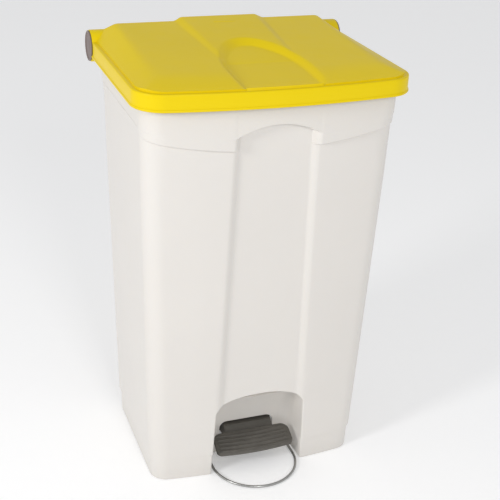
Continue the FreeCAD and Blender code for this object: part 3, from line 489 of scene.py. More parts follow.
class Wiring:
    """Adds nodes to one tree and joins them up."""

    def __init__(self, tree: Tree) -> None:
        """Keeps the tree."""
        self.tree = tree

    def feed(self, slot: bpy.types.NodeSocket, value: object) -> None:
        """Links a socket to an input, or sets a plain value on it.

        Args:
            slot: The input.
            value: A socket, or a number or colour.
        """
        if isinstance(value, bpy.types.NodeSocket):
            self.tree.links.new(value, slot)
        else:
            slot.default_value = value

    def add(self, kind: str, **inputs: object) -> Node:
        """Adds a node and feeds its inputs.

        Args:
            kind: The node's class name.
            inputs: Values or sockets by input name, with _ for a space.

        Returns:
            The node.
        """
        return self.fill(self.tree.nodes.new(kind), inputs)

    def effect(self, group: Tree, **inputs: object) -> Node:
        """Places a shared effect and feeds its inputs.

        Args:
            group: The effect's node group.
            inputs: Values or sockets by input name, with _ for a space.

        Returns:
            The group node.
        """
        node = self.tree.nodes.new("ShaderNodeGroup")
        node.node_tree = group
        return self.fill(node, inputs)

    def fill(self, node: Node, inputs: dict[str, object]) -> Node:
        """Feeds a node's named inputs.

        Args:
            node: The node.
            inputs: Values or sockets by input name, with _ for a space.

        Returns:
            The same node.
        """
        for name, value in inputs.items():
            self.feed(node.inputs[name.replace("_", " ")], value)
        return node

    def noise(self, where: object, scale: object, detail: float, rough: float = 0.5) -> object:
        """A noise over the piece.

        Args:
            where: The socket that gives the coordinates.
            scale: How fine it is, per metre.
            detail: How many finer layers it has.
            rough: How strong the finer layers are.

        Returns:
            The socket of its value.
        """
        return self.add(
            "ShaderNodeTexNoise", Vector=where, Scale=scale, Detail=detail, Roughness=rough
        ).outputs["Fac"]

    def maths(self, operation: str, *values: object, clamp: bool = False) -> object:
        """One sum on sockets or numbers.

        Args:
            operation: The math node's operation.
            values: Sockets or numbers.
            clamp: Keeps the answer from 0 to 1.

        Returns:
            The answer's socket.
        """
        node = self.add("ShaderNodeMath")
        node.operation = operation
        node.use_clamp = clamp
        for slot, value in zip(node.inputs, values):
            self.feed(slot, value)
        return node.outputs[0]

    def swing(self, value: object, middle: float, gain: object, clamp: bool = False) -> object:
        """How far a value is over its middle, made stronger or weaker.

        Args:
            value: The value's socket.
            middle: The value that gives 0.
            gain: What the difference is multiplied by.
            clamp: Keeps the answer from 0 to 1.

        Returns:
            The answer's socket.
        """
        return self.maths("MULTIPLY", self.maths("SUBTRACT", value, middle), gain, clamp=clamp)

    def tint(self, colour: object, value: object) -> object:
        """A colour made lighter or darker by a value, as a socket."""
        return self.add("ShaderNodeHueSaturation", Color=colour, Value=value).outputs["Color"]

    def overlay(self, share: object, base: object, over: Colour) -> object:
        """Lays a colour over another by a mask.

        Args:
            share: The mask's socket.
            base: The socket of the colour below.
            over: The colour on top.

        Returns:
            The mixed colour's socket.
        """
        mix = self.add("ShaderNodeMix")
        mix.data_type = "RGBA"
        self.fill(mix, {"Factor": share, "A": base, "B": (*over, 1.0)})
        return mix.outputs["Result"]

    def dent(self, shader: Node, height: object, strength: float, deep: float) -> None:
        """Feeds a height to the shader's normal.

        Args:
            shader: The shader.
            height: The height's socket.
            strength: How strongly it shows.
            deep: Its depth in metres.
        """
        bump = self.add("ShaderNodeBump", Strength=strength, Distance=deep, Height=height)
        self.feed(shader.inputs["Normal"], bump.outputs["Normal"])


class Effects:
    """The node groups that several finishes share, each made once."""

    def __init__(self) -> None:
        """Builds every group."""
        self.moulded = self.build_moulded()
        self.wear = self.build_wear()
        self.drawn = self.build_drawn()

    @staticmethod
    def start(
        name: str, takes: dict[str, object], gives: dict[str, Socket]
    ) -> tuple[Wiring, Node, Node, object]:
        """Starts a group with its named sockets.

        Args:
            name: The group's name.
            takes: The inputs' default values, a colour as four numbers.
            gives: The outputs' kinds.

        Returns:
            The group's wiring, its two end nodes and the socket of the object's coordinates.
        """
        group = bpy.data.node_groups.new(name, "ShaderNodeTree")
        for title, value in takes.items():
            kind = Socket.COLOUR if isinstance(value, tuple) else Socket.NUMBER
            made = group.interface.new_socket(name=title, in_out="INPUT", socket_type=kind.value)
            made.default_value = value
        for title, kind in gives.items():
            group.interface.new_socket(name=title, in_out="OUTPUT", socket_type=kind.value)
        net = Wiring(group)
        where = net.add("ShaderNodeTexCoord").outputs["Object"]
        return net, net.add("NodeGroupInput"), net.add("NodeGroupOutput"), where

    def build_moulded(self) -> Tree:
        """Injection-moulded skin: fine grain, faint flow shade and uneven polish.

        Returns:
            The group, whose Grain is per metre.
        """
        net, given, made, where = self.start(
            "moulded_skin",
            {"Colour": (0.8, 0.8, 0.8, 1.0), "Shade": 0.03, "Polish": 0.4, "Grain": 1600.0},
            {"Colour": Socket.COLOUR, "Roughness": Socket.NUMBER, "Height": Socket.NUMBER},
        )
        flow = net.noise(where, 5.0, 3.0)
        patch = net.noise(where, 38.0, 4.0, 0.6)
        grain = net.noise(where, given.outputs["Grain"], 2.0)
        cloud = net.maths("ADD", flow, net.maths("MULTIPLY", patch, 0.35))
        value = net.maths("ADD", 1.0, net.swing(cloud, 0.675, given.outputs["Shade"]))
        uneven = net.maths("ADD", given.outputs["Polish"], net.swing(patch, 0.5, 0.14))
        rough = net.maths("ADD", uneven, net.swing(grain, 0.5, 0.10), clamp=True)
        colour = net.tint(given.outputs["Colour"], value)
        net.fill(made, {"Colour": colour, "Roughness": rough, "Height": grain})
        return net.tree

    def build_wear(self) -> Tree:
        """Handling marks: sparse short scuffs, and dust that gathers low down.

        Returns:
            The group, whose Dust Top is a height in metres.
        """
        net, given, made, where = self.start(
            "handling_wear",
            {"Scuffs": 0.2, "Dust Top": 0.08},
            {"Scuff Mask": Socket.NUMBER, "Dust Mask": Socket.NUMBER},
        )
        stretch = net.add(
            "ShaderNodeMapping",
            Vector=where,
            Scale=(30.0, 30.0, 210.0),
            Rotation=(0.5, 0.9, 0.3),
        )
        lines = net.noise(stretch.outputs["Vector"], 1.0, 6.0, 0.65)
        sparse = net.noise(where, 11.0, 2.0)
        sharp = net.swing(lines, 0.66, 9.0, clamp=True)
        spread = net.swing(sparse, 0.52, 7.0, clamp=True)
        scuff = net.maths("MULTIPLY", net.maths("MULTIPLY", sharp, spread), given.outputs["Scuffs"])
        height = net.add("ShaderNodeSeparateXYZ", Vector=where).outputs["Z"]
        low = net.maths("DIVIDE", height, given.outputs["Dust Top"])
        fall = net.maths("SUBTRACT", 1.0, low, clamp=True)
        cloud = net.noise(where, 60.0, 5.0, 0.7)
        dust = net.maths("MULTIPLY", net.maths("POWER", fall, 2.0), cloud)
        net.fill(made, {"Scuff Mask": scuff, "Dust Mask": dust})
        return net.tree

    def build_drawn(self) -> Tree:
        """Plated or drawn steel: fine lines, a mottled plating and dull spots.

        Returns:
            The group.
        """
        net, given, made, where = self.start(
            "drawn_steel",
            {"Colour": (0.6, 0.6, 0.6, 1.0), "Polish": 0.3},
            {"Colour": Socket.COLOUR, "Roughness": Socket.NUMBER, "Height": Socket.NUMBER},
        )
        stretch = net.add("ShaderNodeMapping", Vector=where, Scale=(1400.0, 90.0, 1400.0))
        lines = net.noise(stretch.outputs["Vector"], 1.0, 3.0)
        plating = net.noise(where, 220.0, 4.0, 0.6)
        value = net.maths("ADD", 0.85, net.maths("MULTIPLY", plating, 0.3))
        dull = net.swing(plating, 0.5, 0.3)
        rough = net.maths("ADD", given.outputs["Polish"], dull, clamp=True)
        colour = net.tint(given.outputs["Colour"], value)
        net.fill(made, {"Colour": colour, "Roughness": rough, "Height": lines})
        return net.tree


def new_material(name: str) -> tuple[bpy.types.Material, Wiring, Node]:
    """An empty node material.

    Args:
        name: The material's name.

    Returns:
        The material, its wiring and its shader.
    """
    material = bpy.data.materials.new(name)
    material.use_nodes = True
    return material, Wiring(material.node_tree), material.node_tree.nodes["Principled BSDF"]


@dataclass(frozen=True)
class MouldedPlastic:
    """A moulded plastic: its colour, polish, grain and how it has been handled."""

    name: str
    slot: str
    colour: Colour
    polish: float = 0.42
    shade: float = 0.05
    grain: float = 1500.0
    bump: float = 0.035
    bump_depth: float = 0.0002
    scuffs: float = 0.2
    scuff_colour: Colour = (0.75, 0.73, 0.70)
    dust_top: float = 0.06
    dust: float = 0.25
    dust_colour: Colour = (0.36, 0.33, 0.29)
    under: float = 0.0
    under_reach: Colour = (0.004, 0.003, 0.002)
    gloss: float = 0.3
    bending: float = 1.49

    def build(self, effects: Effects) -> bpy.types.Material:
        """Makes the material.

        Args:
            effects: The shared node groups.

        Returns:
            The material.
        """
        material, net, shader = new_material(self.name)
        skin = net.effect(
            effects.moulded,
            Colour=(*self.colour, 1.0),
            Shade=self.shade,
            Polish=self.polish,
            Grain=self.grain,
        )
        wear = net.effect(effects.wear, Scuffs=self.scuffs, Dust_Top=self.dust_top)
        scuffed = net.overlay(wear.outputs["Scuff Mask"], skin.outputs["Colour"], self.scuff_colour)
        amount = net.maths("MULTIPLY", wear.outputs["Dust Mask"], self.dust)
        net.fill(shader, {
            "Base Color": net.overlay(amount, scuffed, self.dust_colour),
            "Roughness": skin.outputs["Roughness"],
            "IOR": self.bending,
            "Specular IOR Level": self.gloss,
            "Subsurface Weight": self.under,
            "Subsurface Radius": self.under_reach,
        })
        net.dent(shader, skin.outputs["Height"], self.bump, self.bump_depth)
        return material


@dataclass(frozen=True)
class PlatedSteel:
    """A plated or drawn steel."""

    name: str
    slot: str
    colour: Colour
    polish: float = 0.32
    bump: float = 0.02
    bump_depth: float = 0.0001

    def build(self, effects: Effects) -> bpy.types.Material:
        """Makes the material.

        Args:
            effects: The shared node groups.

        Returns:
            The material.
        """
        material, net, shader = new_material(self.name)
        skin = net.effect(effects.drawn, Colour=(*self.colour, 1.0), Polish=self.polish)
        net.fill(shader, {
            "Base Color": skin.outputs["Colour"],
            "Roughness": skin.outputs["Roughness"],
            "Metallic": 1.0,
        })
        net.dent(shader, skin.outputs["Height"], self.bump, self.bump_depth)
        return material


class Finishes:
    """Every finish on the bin, made once and handed out by slot name."""

    KINDS = (
        MouldedPlastic(
            "ivory_moulding", "ivory_plastic", (0.735, 0.705, 0.665), polish=0.36, under=0.04,
        ),
        MouldedPlastic(
            "yellow_moulding", "yellow_plastic", (0.80, 0.60, 0.005), polish=0.34, shade=0.07,
            scuff_colour=(0.85, 0.72, 0.2), dust=0.0, under=0.02, gloss=0.12,
        ),
        MouldedPlastic(
            "grey_pedal_moulding", "grey_plastic", (0.075, 0.070, 0.060), polish=0.5, shade=0.25,
            bump=0.12, scuffs=0.5, scuff_colour=(0.22, 0.21, 0.19), dust_top=0.12, dust=0.5,
        ),
        MouldedPlastic(
            "grey_pin_moulding", "pin_plastic", (0.20, 0.155, 0.142), shade=0.15, dust=0.0,
        ),
        MouldedPlastic(
            "black_bearing_moulding", "bearing_plastic", (0.028, 0.028, 0.028), polish=0.48,
            shade=0.3, scuff_colour=(0.12, 0.12, 0.12),
        ),
        MouldedPlastic("natural_bush_moulding", "bush_plastic", (0.62, 0.59, 0.53), polish=0.4),
        MouldedPlastic(
            "soft_rubber", "rubber", (0.018, 0.018, 0.018), polish=0.74, shade=0.4, grain=700.0,
            bump=0.2, scuff_colour=(0.1, 0.1, 0.1),
        ),
        PlatedSteel("zinc_plated_steel", "zinc_steel", (0.56, 0.56, 0.55), polish=0.34),
        PlatedSteel("drawn_wire_steel", "wire_steel", (0.42, 0.42, 0.41), polish=0.3),
        PlatedSteel("screw_steel_plating", "screw_steel", (0.52, 0.52, 0.50), polish=0.28),
    )

    def __init__(self) -> None:
        """Makes all the materials."""
        effects = Effects()
        self.by_slot = {kind.slot: kind.build(effects) for kind in self.KINDS}

    def dress(self, thing: Thing, slot: str) -> None:
        """Gives a piece its finish.

        Args:
            thing: The piece.
            slot: The record's slot name.
        """
        thing.data.materials.clear()
        thing.data.materials.append(self.by_slot[slot])
        for face in thing.data.polygons:
            face.material_index = 0


def hand_in(thing: Thing, body: Body, slot: str, finishes: Finishes, node: str) -> None:
    """Dresses a finished piece, ties it to its body and hides the CAD node it stands for.

    Args:
        thing: The piece.
        body: The body it moves with.
        slot: Its finish's slot.
        finishes: The finishes.
        node: The CAD node it replaces.
    """
    finishes.dress(thing, slot)
    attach(thing, body.value)
    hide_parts(node)
    log.info("%s: %d faces on %s", thing.name, len(thing.data.polygons), body.value)


# ---------------------------------------------------------------- the tub


@dataclass
class Tub:
    """The moulded tub, from its plinth to its rim.

    Names ending in low and high are half widths, or distances from the middle, at the floor
    and at the rim.
    """

    half_low: float = 211.0
    half_high: float = 236.0
    front_low: float = 150.5
    front_high: float = 170.2
    back_low: float = 159.0
    back_high: float = 174.0
    rim: float = 785.0
    bow: float = 1445.0
    corner_front: float = 36.0
    corner_back: float = 30.0
    wall: float = 3.4
    plinth: float = 50.0
    plinth_inset: float = 3.0
    plinth_ease: float = 0.3
    collar: float = 7.0
    collar_fade: float = 0.8
    collar_low: float = 681.0
    collar_arc: float = 1011.0
    collar_gap: float = 29.0
    flute_low: float = 91.0
    flute_high: float = 80.0
    flute_base: float = 100.0
    flute_spring: float = 684.0
    flute_slope: float = 14.0
    flute_depth: float = 8.5
    flute_foot: tuple[float, float] = (60.0, 90.0)
    flute_top: float = 729.0
    flute_lip: float = 4.0
    flute_arc: float = 0.0036
    flute_shoulder: float = 84.0
    flute_crease: float = 0.12
    alcove_half: float = 94.0
    alcove_lean: float = 5.0 / 148.0
    alcove_spring: float = 140.0
    alcove_rise: float = 34.0
    alcove_back: float = 77.0
    alcove_draft: float = 1.5
    alcove_straight: float = 0.62
    mouth_lip: float = 3.0
    hood_radius: float = 100.0
    hood_centre: float = 80.0
    hood_round: float = 26.0
    slot_half: float = 57.0
    slot_top: float = 71.0
    slot_corner: float = 16.0
    slot_span: tuple[float, float] = (-88.0, -66.0)
    wire_side: tuple[float, float] = (80.0, 90.0)
    wire_span: tuple[float, float] = (-84.0, -71.0)
    wire_top: float = 11.5
    below: float = -5.0
    channel_half: float = 23.0
    channel_face: float = 138.0
    floor: tuple[float, float] = (76.0, 80.0)
    floor_gap: float = 2.0
    floor_side: float = 92.5
    floor_front: tuple[float, float] = (-76.0, -149.0)
    notch: float = 31.0
    notch_start: float = 218.5
    notch_long: float = 60.0
    post_side: float = 168.0
    post_rows: tuple[float, float] = (-100.0, 125.0)
    knuckle_start: float = 186.0
    web_side: tuple[float, float] = (187.0, 215.0)
    web_front: float = 171.0
    web_fall: float = 38.0
    liner_side: tuple[float, float] = (214.6, 232.5)
    liner_radii: tuple[float, float] = (31.2, 34.4)
    patch_half: float = 130.0
    patch_top: float = 220.0

    COLUMNS = (
        0, 8, 16, 24, 32, 40, 47, 53, 57, 60, 63, 65.5, 68, 70.5, 73, 75.5, 78, 80, 82, 84, 86, 88,
        90, 92, 95, 99, 105, 113, 121, 130,
    )
    ROWS_LOW = (
        1.0, 3.0, 6.0, 14.0, 24.0, 34.0, 42.0, 47.0, 49.2, 49.7, 49.9, 50.1, 50.3, 50.8, 55.0, 62.0,
        71.0, 80.0, 90.0, 100.0, 110.0, 120.0, 130.0, 140.0,
    )
    ROWS_PATCH = (150.0, 160.0, 170.0, 180.0, 190.0, 200.0, 210.0, 220.0)
    ROWS_COLLAR = (
        600, 612, 624, 636, 646, 655, 662, 668, 673, 677, 679, 679.6, 680.1, 680.5, 680.9, 681.2,
        681.5, 681.9, 682.4, 683.2, 684.5, 686.5, 689, 692, 696, 700, 704, 708, 712, 715, 718,
        720.5, *np.arange(722.0, 730.1, 0.5), 731, 733, 737, 743, 750, 758, 768, 778,
    )
    ROWS_RIM = (781.0, 783.6, 785.0)
    COLLAR_LIP = (
        (-7.0, 0.0), (-2.5, -0.06), (-0.7, -0.13), (-0.1, 0.45), (0.3, 0.86), (1.0, 0.97),
        (2.4, 1.0),
    )
    POST_PROFILE = (
        (0.0, 6.0), (11.0, 6.0), (11.0, 1.6), (11.6, 1.0), (14.4, 1.0), (15.0, 1.6), (15.0, 70.0),
        (18.5, 76.5), (0.0, 76.5),
    )
    KNUCKLE_PROFILE = (
        (10.0, 0.0), (22.6, 0.0), (24.0, 1.4), (24.0, 28.6), (22.6, 30.0), (10.0, 30.0),
        (10.0, 0.0),
    )

    def level(self, low: float, high: float, z: np.ndarray) -> np.ndarray:
        """A size at a height, from its values at the floor and at the rim."""
        return low + (high - low) * z / self.rim

    def plinth_step(self, z: np.ndarray) -> np.ndarray:
        """How far the plinth is set in at a height."""
        step = smooth(z, self.plinth - self.plinth_ease, self.plinth + self.plinth_ease)
        return self.plinth_inset * (1.0 - step)

    def collar_line(self, x: np.ndarray) -> np.ndarray:
        """The height of the collar's lower edge, which rises to both sides."""
        reach = np.minimum(np.abs(x), self.half_high)
        return self.collar_low + self.collar_arc - np.sqrt(self.collar_arc**2 - reach**2)

    def collar_share(self, x: np.ndarray, z: np.ndarray) -> np.ndarray:
        """How much of the collar's depth stands out at a point, with a rounded lower lip."""
        return np.interp(z - self.collar_line(x), *zip(*self.COLLAR_LIP))

    def flute_share(self, x: np.ndarray, z: np.ndarray) -> np.ndarray:
        """How deep the upright flute is at a point, with a crease where walls meet floor.

        Args:
            x: Across.
            z: Height.

        Returns:
            0 outside the flute, 1 on its floor.
        """
        climb = np.clip(z, self.flute_base, self.flute_spring) - self.flute_base
        narrow = (self.flute_high - self.flute_low) * climb
        half = self.flute_low + narrow / (self.flute_spring - self.flute_base)
        side = np.clip((half - np.abs(x)) / self.flute_slope, 0.0, 1.0)
        over = np.clip((self.flute_top - self.arch_fall(x) - z) / self.flute_lip, 0.0, 1.0)
        full = 1.0 - self.flute_crease / 4.0
        return soft_min(side**1.7, over**1.2, self.flute_crease) / full

    def arch_fall(self, x: np.ndarray) -> np.ndarray:
        """How far the flute's arched top has fallen at a distance from the middle."""
        return np.minimum(np.abs(x), self.flute_shoulder) ** 2 * self.flute_arc

    def front(self, x: np.ndarray, z: np.ndarray) -> np.ndarray:
        """The front wall's Y at a point, with its bow, plinth, collar and flute.

        Args:
            x: Across.
            z: Height.

        Returns:
            The wall's Y.
        """
        base = self.plinth_step(z) - self.level(self.front_low, self.front_high, z)
        curve = self.bow - np.sqrt(self.bow**2 - x**2)
        outside = base + curve - self.collar * self.collar_share(x, z)
        share = self.flute_share(x, z) * smooth(z, *self.flute_foot)
        return outside + (base + self.flute_depth - outside) * share

    def plan(self, z: float) -> tuple[np.ndarray, np.ndarray, int]:
        """The right half of the tub at a height in plan, from the front's middle to the channel.

        Args:
            z: The height.

        Returns:
            Points, their outward directions, and how many of them are on the front wall.
        """
        inset = float(self.plinth_step(np.array(z)))
        half = self.level(self.half_low, self.half_high, z) - inset
        front = self.level(self.front_low, self.front_high, z) - inset
        back = self.level(self.back_low, self.back_high, z) - inset
        radius = self.corner_front - inset
        bow = self.bow - radius
        centre = (half - radius, self.bow - front - math.sqrt(bow**2 - (half - radius) ** 2))
        lean = math.asin(centre[0] / bow)
        turn = (half - self.corner_back, back - self.corner_back)
        beyond = np.linspace(self.COLUMNS[-1], self.bow * math.sin(lean), 9)[1:]
        rear = np.linspace(turn[0], self.channel_half + 1.0, 11)[1:]
        cheek = np.linspace(back - 8.0, self.channel_face + 1.0, 4)
        flat = len(self.COLUMNS) + len(beyond)
        corner, corner_out = arc(centre, radius, lean - RIGHT_ANGLE, 0.0, 16)
        heel, heel_out = arc(turn, self.corner_back, 0.0, RIGHT_ANGLE, 10)
        runs = (
            ([(x, 0.0) for x in (*self.COLUMNS, *beyond)], (0.0, -1.0)),
            (corner, corner_out),
            ([(half, y) for y in np.linspace(centre[1], turn[1], 25)[1:]], (1.0, 0.0)),
            (heel, heel_out),
            ([(x, back) for x in rear], (0.0, 1.0)),
            ([(self.channel_half, back - 1.0)], (0.7, 0.7)),
            ([(self.channel_half, y) for y in cheek], (0.0, 0.0)),
            ([(x, self.channel_face) for x in (self.channel_half - 1.0, 12.0, 0.0)], (0.0, 0.0)),
        )
        spots = np.vstack([np.array(points) for points, _ in runs])
        sense = np.vstack([np.broadcast_to(out, (len(points), 2)) for points, out in runs])
        return spots, sense, flat

    def outline(self, z: float, warp: float) -> np.ndarray:
        """One row of the right half of the tub's skin.

        Args:
            z: The height of the row at the middle.
            warp: Share of the collar line's rise that the row follows.

        Returns:
            Points in millimetres, from the front's middle to the channel.
        """
        spots, sense, flat = self.plan(z)
        height = z + warp * (self.collar_line(spots[:, 0]) - self.collar_low)
        wide = np.abs(spots[:flat, 0])
        beside = self.arch_fall(wide) * (1.0 - smooth(wide, self.flute_shoulder, self.patch_half))
        height[:flat] -= self.arch_warp(z) * beside
        out = np.column_stack([spots, height])
        out[:flat, 1] = self.front(spots[:flat, 0], height[:flat])
        spots, sense = spots[flat:], sense[flat:]
        gap = (np.abs(spots[:, 0]) < self.collar_gap) & (spots[:, 1] > 0.0)
        share = np.where(gap, 0.0, self.collar_share(spots[:, 0], height[flat:]))
        forward = np.where(sense[:, 1] < 0.0, self.collar, self.collar_fade)
        out[flat:, 0] += sense[:, 0] * self.collar_fade * share
        out[flat:, 1] += sense[:, 1] * forward * share
        return out

    @staticmethod
    def arch_warp(z: float) -> float:
        """Share of the flute's arch that a row follows, so that rows run along the arch."""
        return float(np.interp(z, (691.0, 728.0, 735.0, 783.0), (0.0, 1.0, 1.0, 0.0)))

    def rows(self) -> list[tuple[float, float]]:
        """The skin's rows from plinth to rim.

        Returns:
            Heights, each with its share of the collar line's rise.
        """
        level = (*self.ROWS_LOW, *self.ROWS_PATCH, *np.arange(234.0, 600.0, 14.0))
        curved = np.array(self.ROWS_COLLAR)
        share = smooth(curved, 600.0, 664.0) * (1.0 - smooth(curved, 688.0, 728.0))
        rows = [(float(z), 0.0) for z in level]
        rows += [(float(z), float(part)) for z, part in zip(curved, share)]
        return rows + [(z, 0.0) for z in self.ROWS_RIM]

    def arch(self) -> tuple[np.ndarray, np.ndarray]:
        """The alcove's mouth, up its right side to its apex.

        Returns:
            Points (x, z) and unit directions outward, from the floor up.
        """
        side = [(self.alcove_half - self.alcove_lean * z, z) for z in self.ROWS_LOW]
        count = len(self.ROWS_PATCH) + len(self.COLUMNS) - 1
        angles = np.linspace(0.0, RIGHT_ANGLE, 400)
        curve = np.stack([
            side[-1][0] * np.cos(angles), self.alcove_spring + self.alcove_rise * np.sin(angles)
        ], axis=1)
        legs = np.linalg.norm(np.diff(curve, axis=0), axis=1)
        run = np.concatenate([[0.0], np.cumsum(legs)])
        stations = np.linspace(0.0, run[-1], count + 1)[1:]
        top = np.stack([np.interp(stations, run, curve[:, k]) for k in (0, 1)], axis=1)
        points = np.vstack([np.array(side), top])
        along = np.gradient(points, axis=0)
        along[-1] = (-1.0, 0.0)
        out = np.stack([along[:, 1], -along[:, 0]], axis=1)
        return points, out / np.linalg.norm(out, axis=1)[:, None]

    def alcove_face(self, z: np.ndarray) -> np.ndarray:
        """The Y of the alcove's back surface: a flat wall, then a hood that curves forward."""
        up = np.clip(z - self.hood_centre, 0.0, self.hood_radius - 0.1)
        return np.sqrt(self.hood_radius**2 - up**2) - self.hood_radius - self.alcove_back

    def alcove_ring(
        self, points: np.ndarray, out: np.ndarray, shift: object, share: float
    ) -> np.ndarray:
        """One ring of the alcove's mouth or wall.

        Args:
            points: The mouth's points (x, z).
            out: Their outward directions.
            shift: How far the ring is moved outward, as a number or one for each point.
            share: How much of the way it is to the back surface.

        Returns:
            The ring's points.
        """
        spot = points + out * np.reshape(shift, (-1, 1))
        spot[:, 0] = np.maximum(spot[:, 0], 0.0)
        face = self.front(spot[:, 0], spot[:, 1])
        deep = np.maximum(self.alcove_face(spot[:, 1]) - face, 0.0)
        return np.stack([spot[:, 0], face + deep * share, spot[:, 1]], axis=1)

    def alcove(self, sheet: Sheet) -> None:
        """Adds the front wall round the alcove, and the alcove's rounded mouth, walls and hood.

        Args:
            sheet: The tub's growing mesh.
        """
        points, out = self.arch()
        rect = [(self.patch_half, z) for z in (*self.ROWS_LOW, *self.ROWS_PATCH)]
        rect = np.array(rect + [(x, self.patch_top) for x in self.COLUMNS[-2::-1]])
        rings = []
        for eased in np.linspace(1.0, 0.0, 15) ** 1.5:
            spot = (points + out * self.mouth_lip) * (1.0 - eased) + rect * eased
            face = self.front(spot[:, 0], spot[:, 1])
            rings.append(np.stack([spot[:, 0], face, spot[:, 1]], axis=1))
        drop = self.alcove_face(points[:, 1]) - self.front(points[:, 0], points[:, 1])
        drop = np.maximum(drop, 1.0)
        lip = float(np.min(np.minimum(self.mouth_lip, drop * 0.4) / drop))
        hood = self.hood_round * smooth(drop, 0.0, 60.0)
        straight = self.alcove_straight
        moves = [
            (self.mouth_lip * (1.0 - math.sin(angle)), lip * (1.0 - math.cos(angle)))
            for angle in np.radians(range(18, 91, 18))
        ]
        moves += [
            (-self.alcove_draft * share, lip + (straight - lip) * share)
            for share in (0.2, 0.4, 0.6, 0.8, 1.0)
        ]
        moves += [
            (
                -self.alcove_draft - hood * (1.0 - math.cos(angle)),
                straight + (1.0 - straight) * math.sin(angle),
            )
            for angle in np.radians(range(9, 91, 9))
        ]
        rings += [self.alcove_ring(points, out, *move) for move in moves]
        for row in rings:
            row[-1, 0] = 0.0
        edge = rings[-1]
        for share in np.linspace(0.0, 1.0, 14)[1:]:
            row = edge.copy()
            row[:, 0] = edge[:, 0] * (1.0 - share)
            row[:, 1] = np.maximum(self.alcove_face(row[:, 2]), self.front(row[:, 0], row[:, 2]))
            rings.append(row)
        sheet.pair(np.array(rings) * MM)

    def shell(self) -> Thing:
        """The tub's wall with all its recesses.

        Returns:
            One closed mesh.
        """
        half = np.array([self.outline(z, warp) for z, warp in self.rows()]) * MM
        beside = len(self.COLUMNS) - 1
        low = len(self.ROWS_LOW) + len(self.ROWS_PATCH)
        sheet = Sheet()
        sheet.pair(half[:low, beside:])
        sheet.pair(half[low - 1:])
        self.alcove(sheet)
        return thicken(sheet.make("tub_shell", merge=4e-5), self.wall)

    def cutters(self) -> list[Thing]:
        """Meshes that cut the pedal's slot, the wire's gaps and room for the lid's barrels.

        Returns:
            The cutting meshes.
        """
        straight = self.slot_half - self.slot_corner
        middle = self.slot_top - self.slot_corner
        outline = [(-self.slot_half, self.below)]
        for angle in np.linspace(math.pi, 0.0, 17):
            centre = -straight if angle > RIGHT_ANGLE else straight
            outline.append((
                centre + self.slot_corner * math.cos(angle),
                middle + self.slot_corner * math.sin(angle),
            ))
        outline.append((self.slot_half, self.below))
        tools = [prism("slot_cutter", np.array(outline), Axis.Y, self.slot_span)]
        long = self.notch_long
        bar = [(0.0, 0.0), (self.notch, 0.0), (self.notch, long), (0.0, long)]
        for side in SIDES:
            across = tuple(side * x for x in self.wire_side)
            gap = (across, self.wire_span, (self.below, self.wire_top))
            tools.append(block("wire_cutter", gap))
            start = (side * self.notch_start, *HINGE)
            tools.append(turned("barrel_cutter", bar, start, (side, 0, 0), 96))
        return tools

    def floor_plate(self) -> Thing:
        """The hidden floor, which leaves the alcove and the rod's channel free.

        Returns:
            The floor.
        """
        wall = self.outline(self.floor[1] - 2.0, 0.0)[len(self.COLUMNS) - 1:, :2]
        centre = np.array([0.0, 10.0])
        away = np.linalg.norm(wall - centre, axis=1)[:, None]
        inner = centre + (wall - centre) * (1.0 - self.floor_gap / away)
        heel = (self.channel_half + 3.0, self.channel_face - 3.5)
        kept = [(x, y) for x, y in inner if not (abs(x) < self.channel_half + 1.0 and y > heel[1])]
        right = [*((self.floor_side, y) for y in self.floor_front), *kept, heel]
        left = [(-x, y) for x, y in reversed(right)]
        return prism("tub_floor", np.array(right + left), Axis.Z, self.floor)

    def posts(self) -> list[Thing]:
        """The four foot posts under the floor, each with a socket for its foot.

        Returns:
            The posts.
        """
        return [
            turned("foot_post", self.POST_PROFILE, (side * self.post_side, y, 0.0), (0, 0, 1), 40)
            for side in SIDES
            for y in self.post_rows
        ]

    def knuckles(self) -> list[Thing]:
        """The two hinge knuckles with their webs, and the liners round the barrels.

        Returns:
            The pieces.
        """
        made = []
        y, z = HINGE
        angles = np.radians(np.linspace(168.0, 262.0, 24))
        way = np.stack([np.cos(angles), np.sin(angles)], axis=1)
        near, far = (np.array(HINGE) + radius * way for radius in self.liner_radii)
        liner = np.vstack([near, far[::-1]])
        for side in SIDES:
            start = (side * self.knuckle_start, y, z)
            made.append(turned("knuckle", self.KNUCKLE_PROFILE, start, (side, 0, 0), 72))
            across = tuple(side * x for x in self.web_side)
            web = (across, (self.web_front, y), (z - self.web_fall, z))
            made.append(block("knuckle_web", web, 2.0))
            span = tuple(side * x for x in self.liner_side)
            made.append(prism("notch_liner", liner, Axis.X, span))
        return made

    def build(self, finishes: Finishes) -> None:
        """Builds and dresses the tub.

        Args:
            finishes: The finishes.
        """
        shell = carve(self.shell(), self.cutters())
        tub = join("tub", [shell, self.floor_plate(), *self.posts(), *self.knuckles()])
        hand_in(shade(tub, 38.0), Body.STAND, "ivory_plastic", finishes, "tub_body")


# ---------------------------------------------------------------- the lid


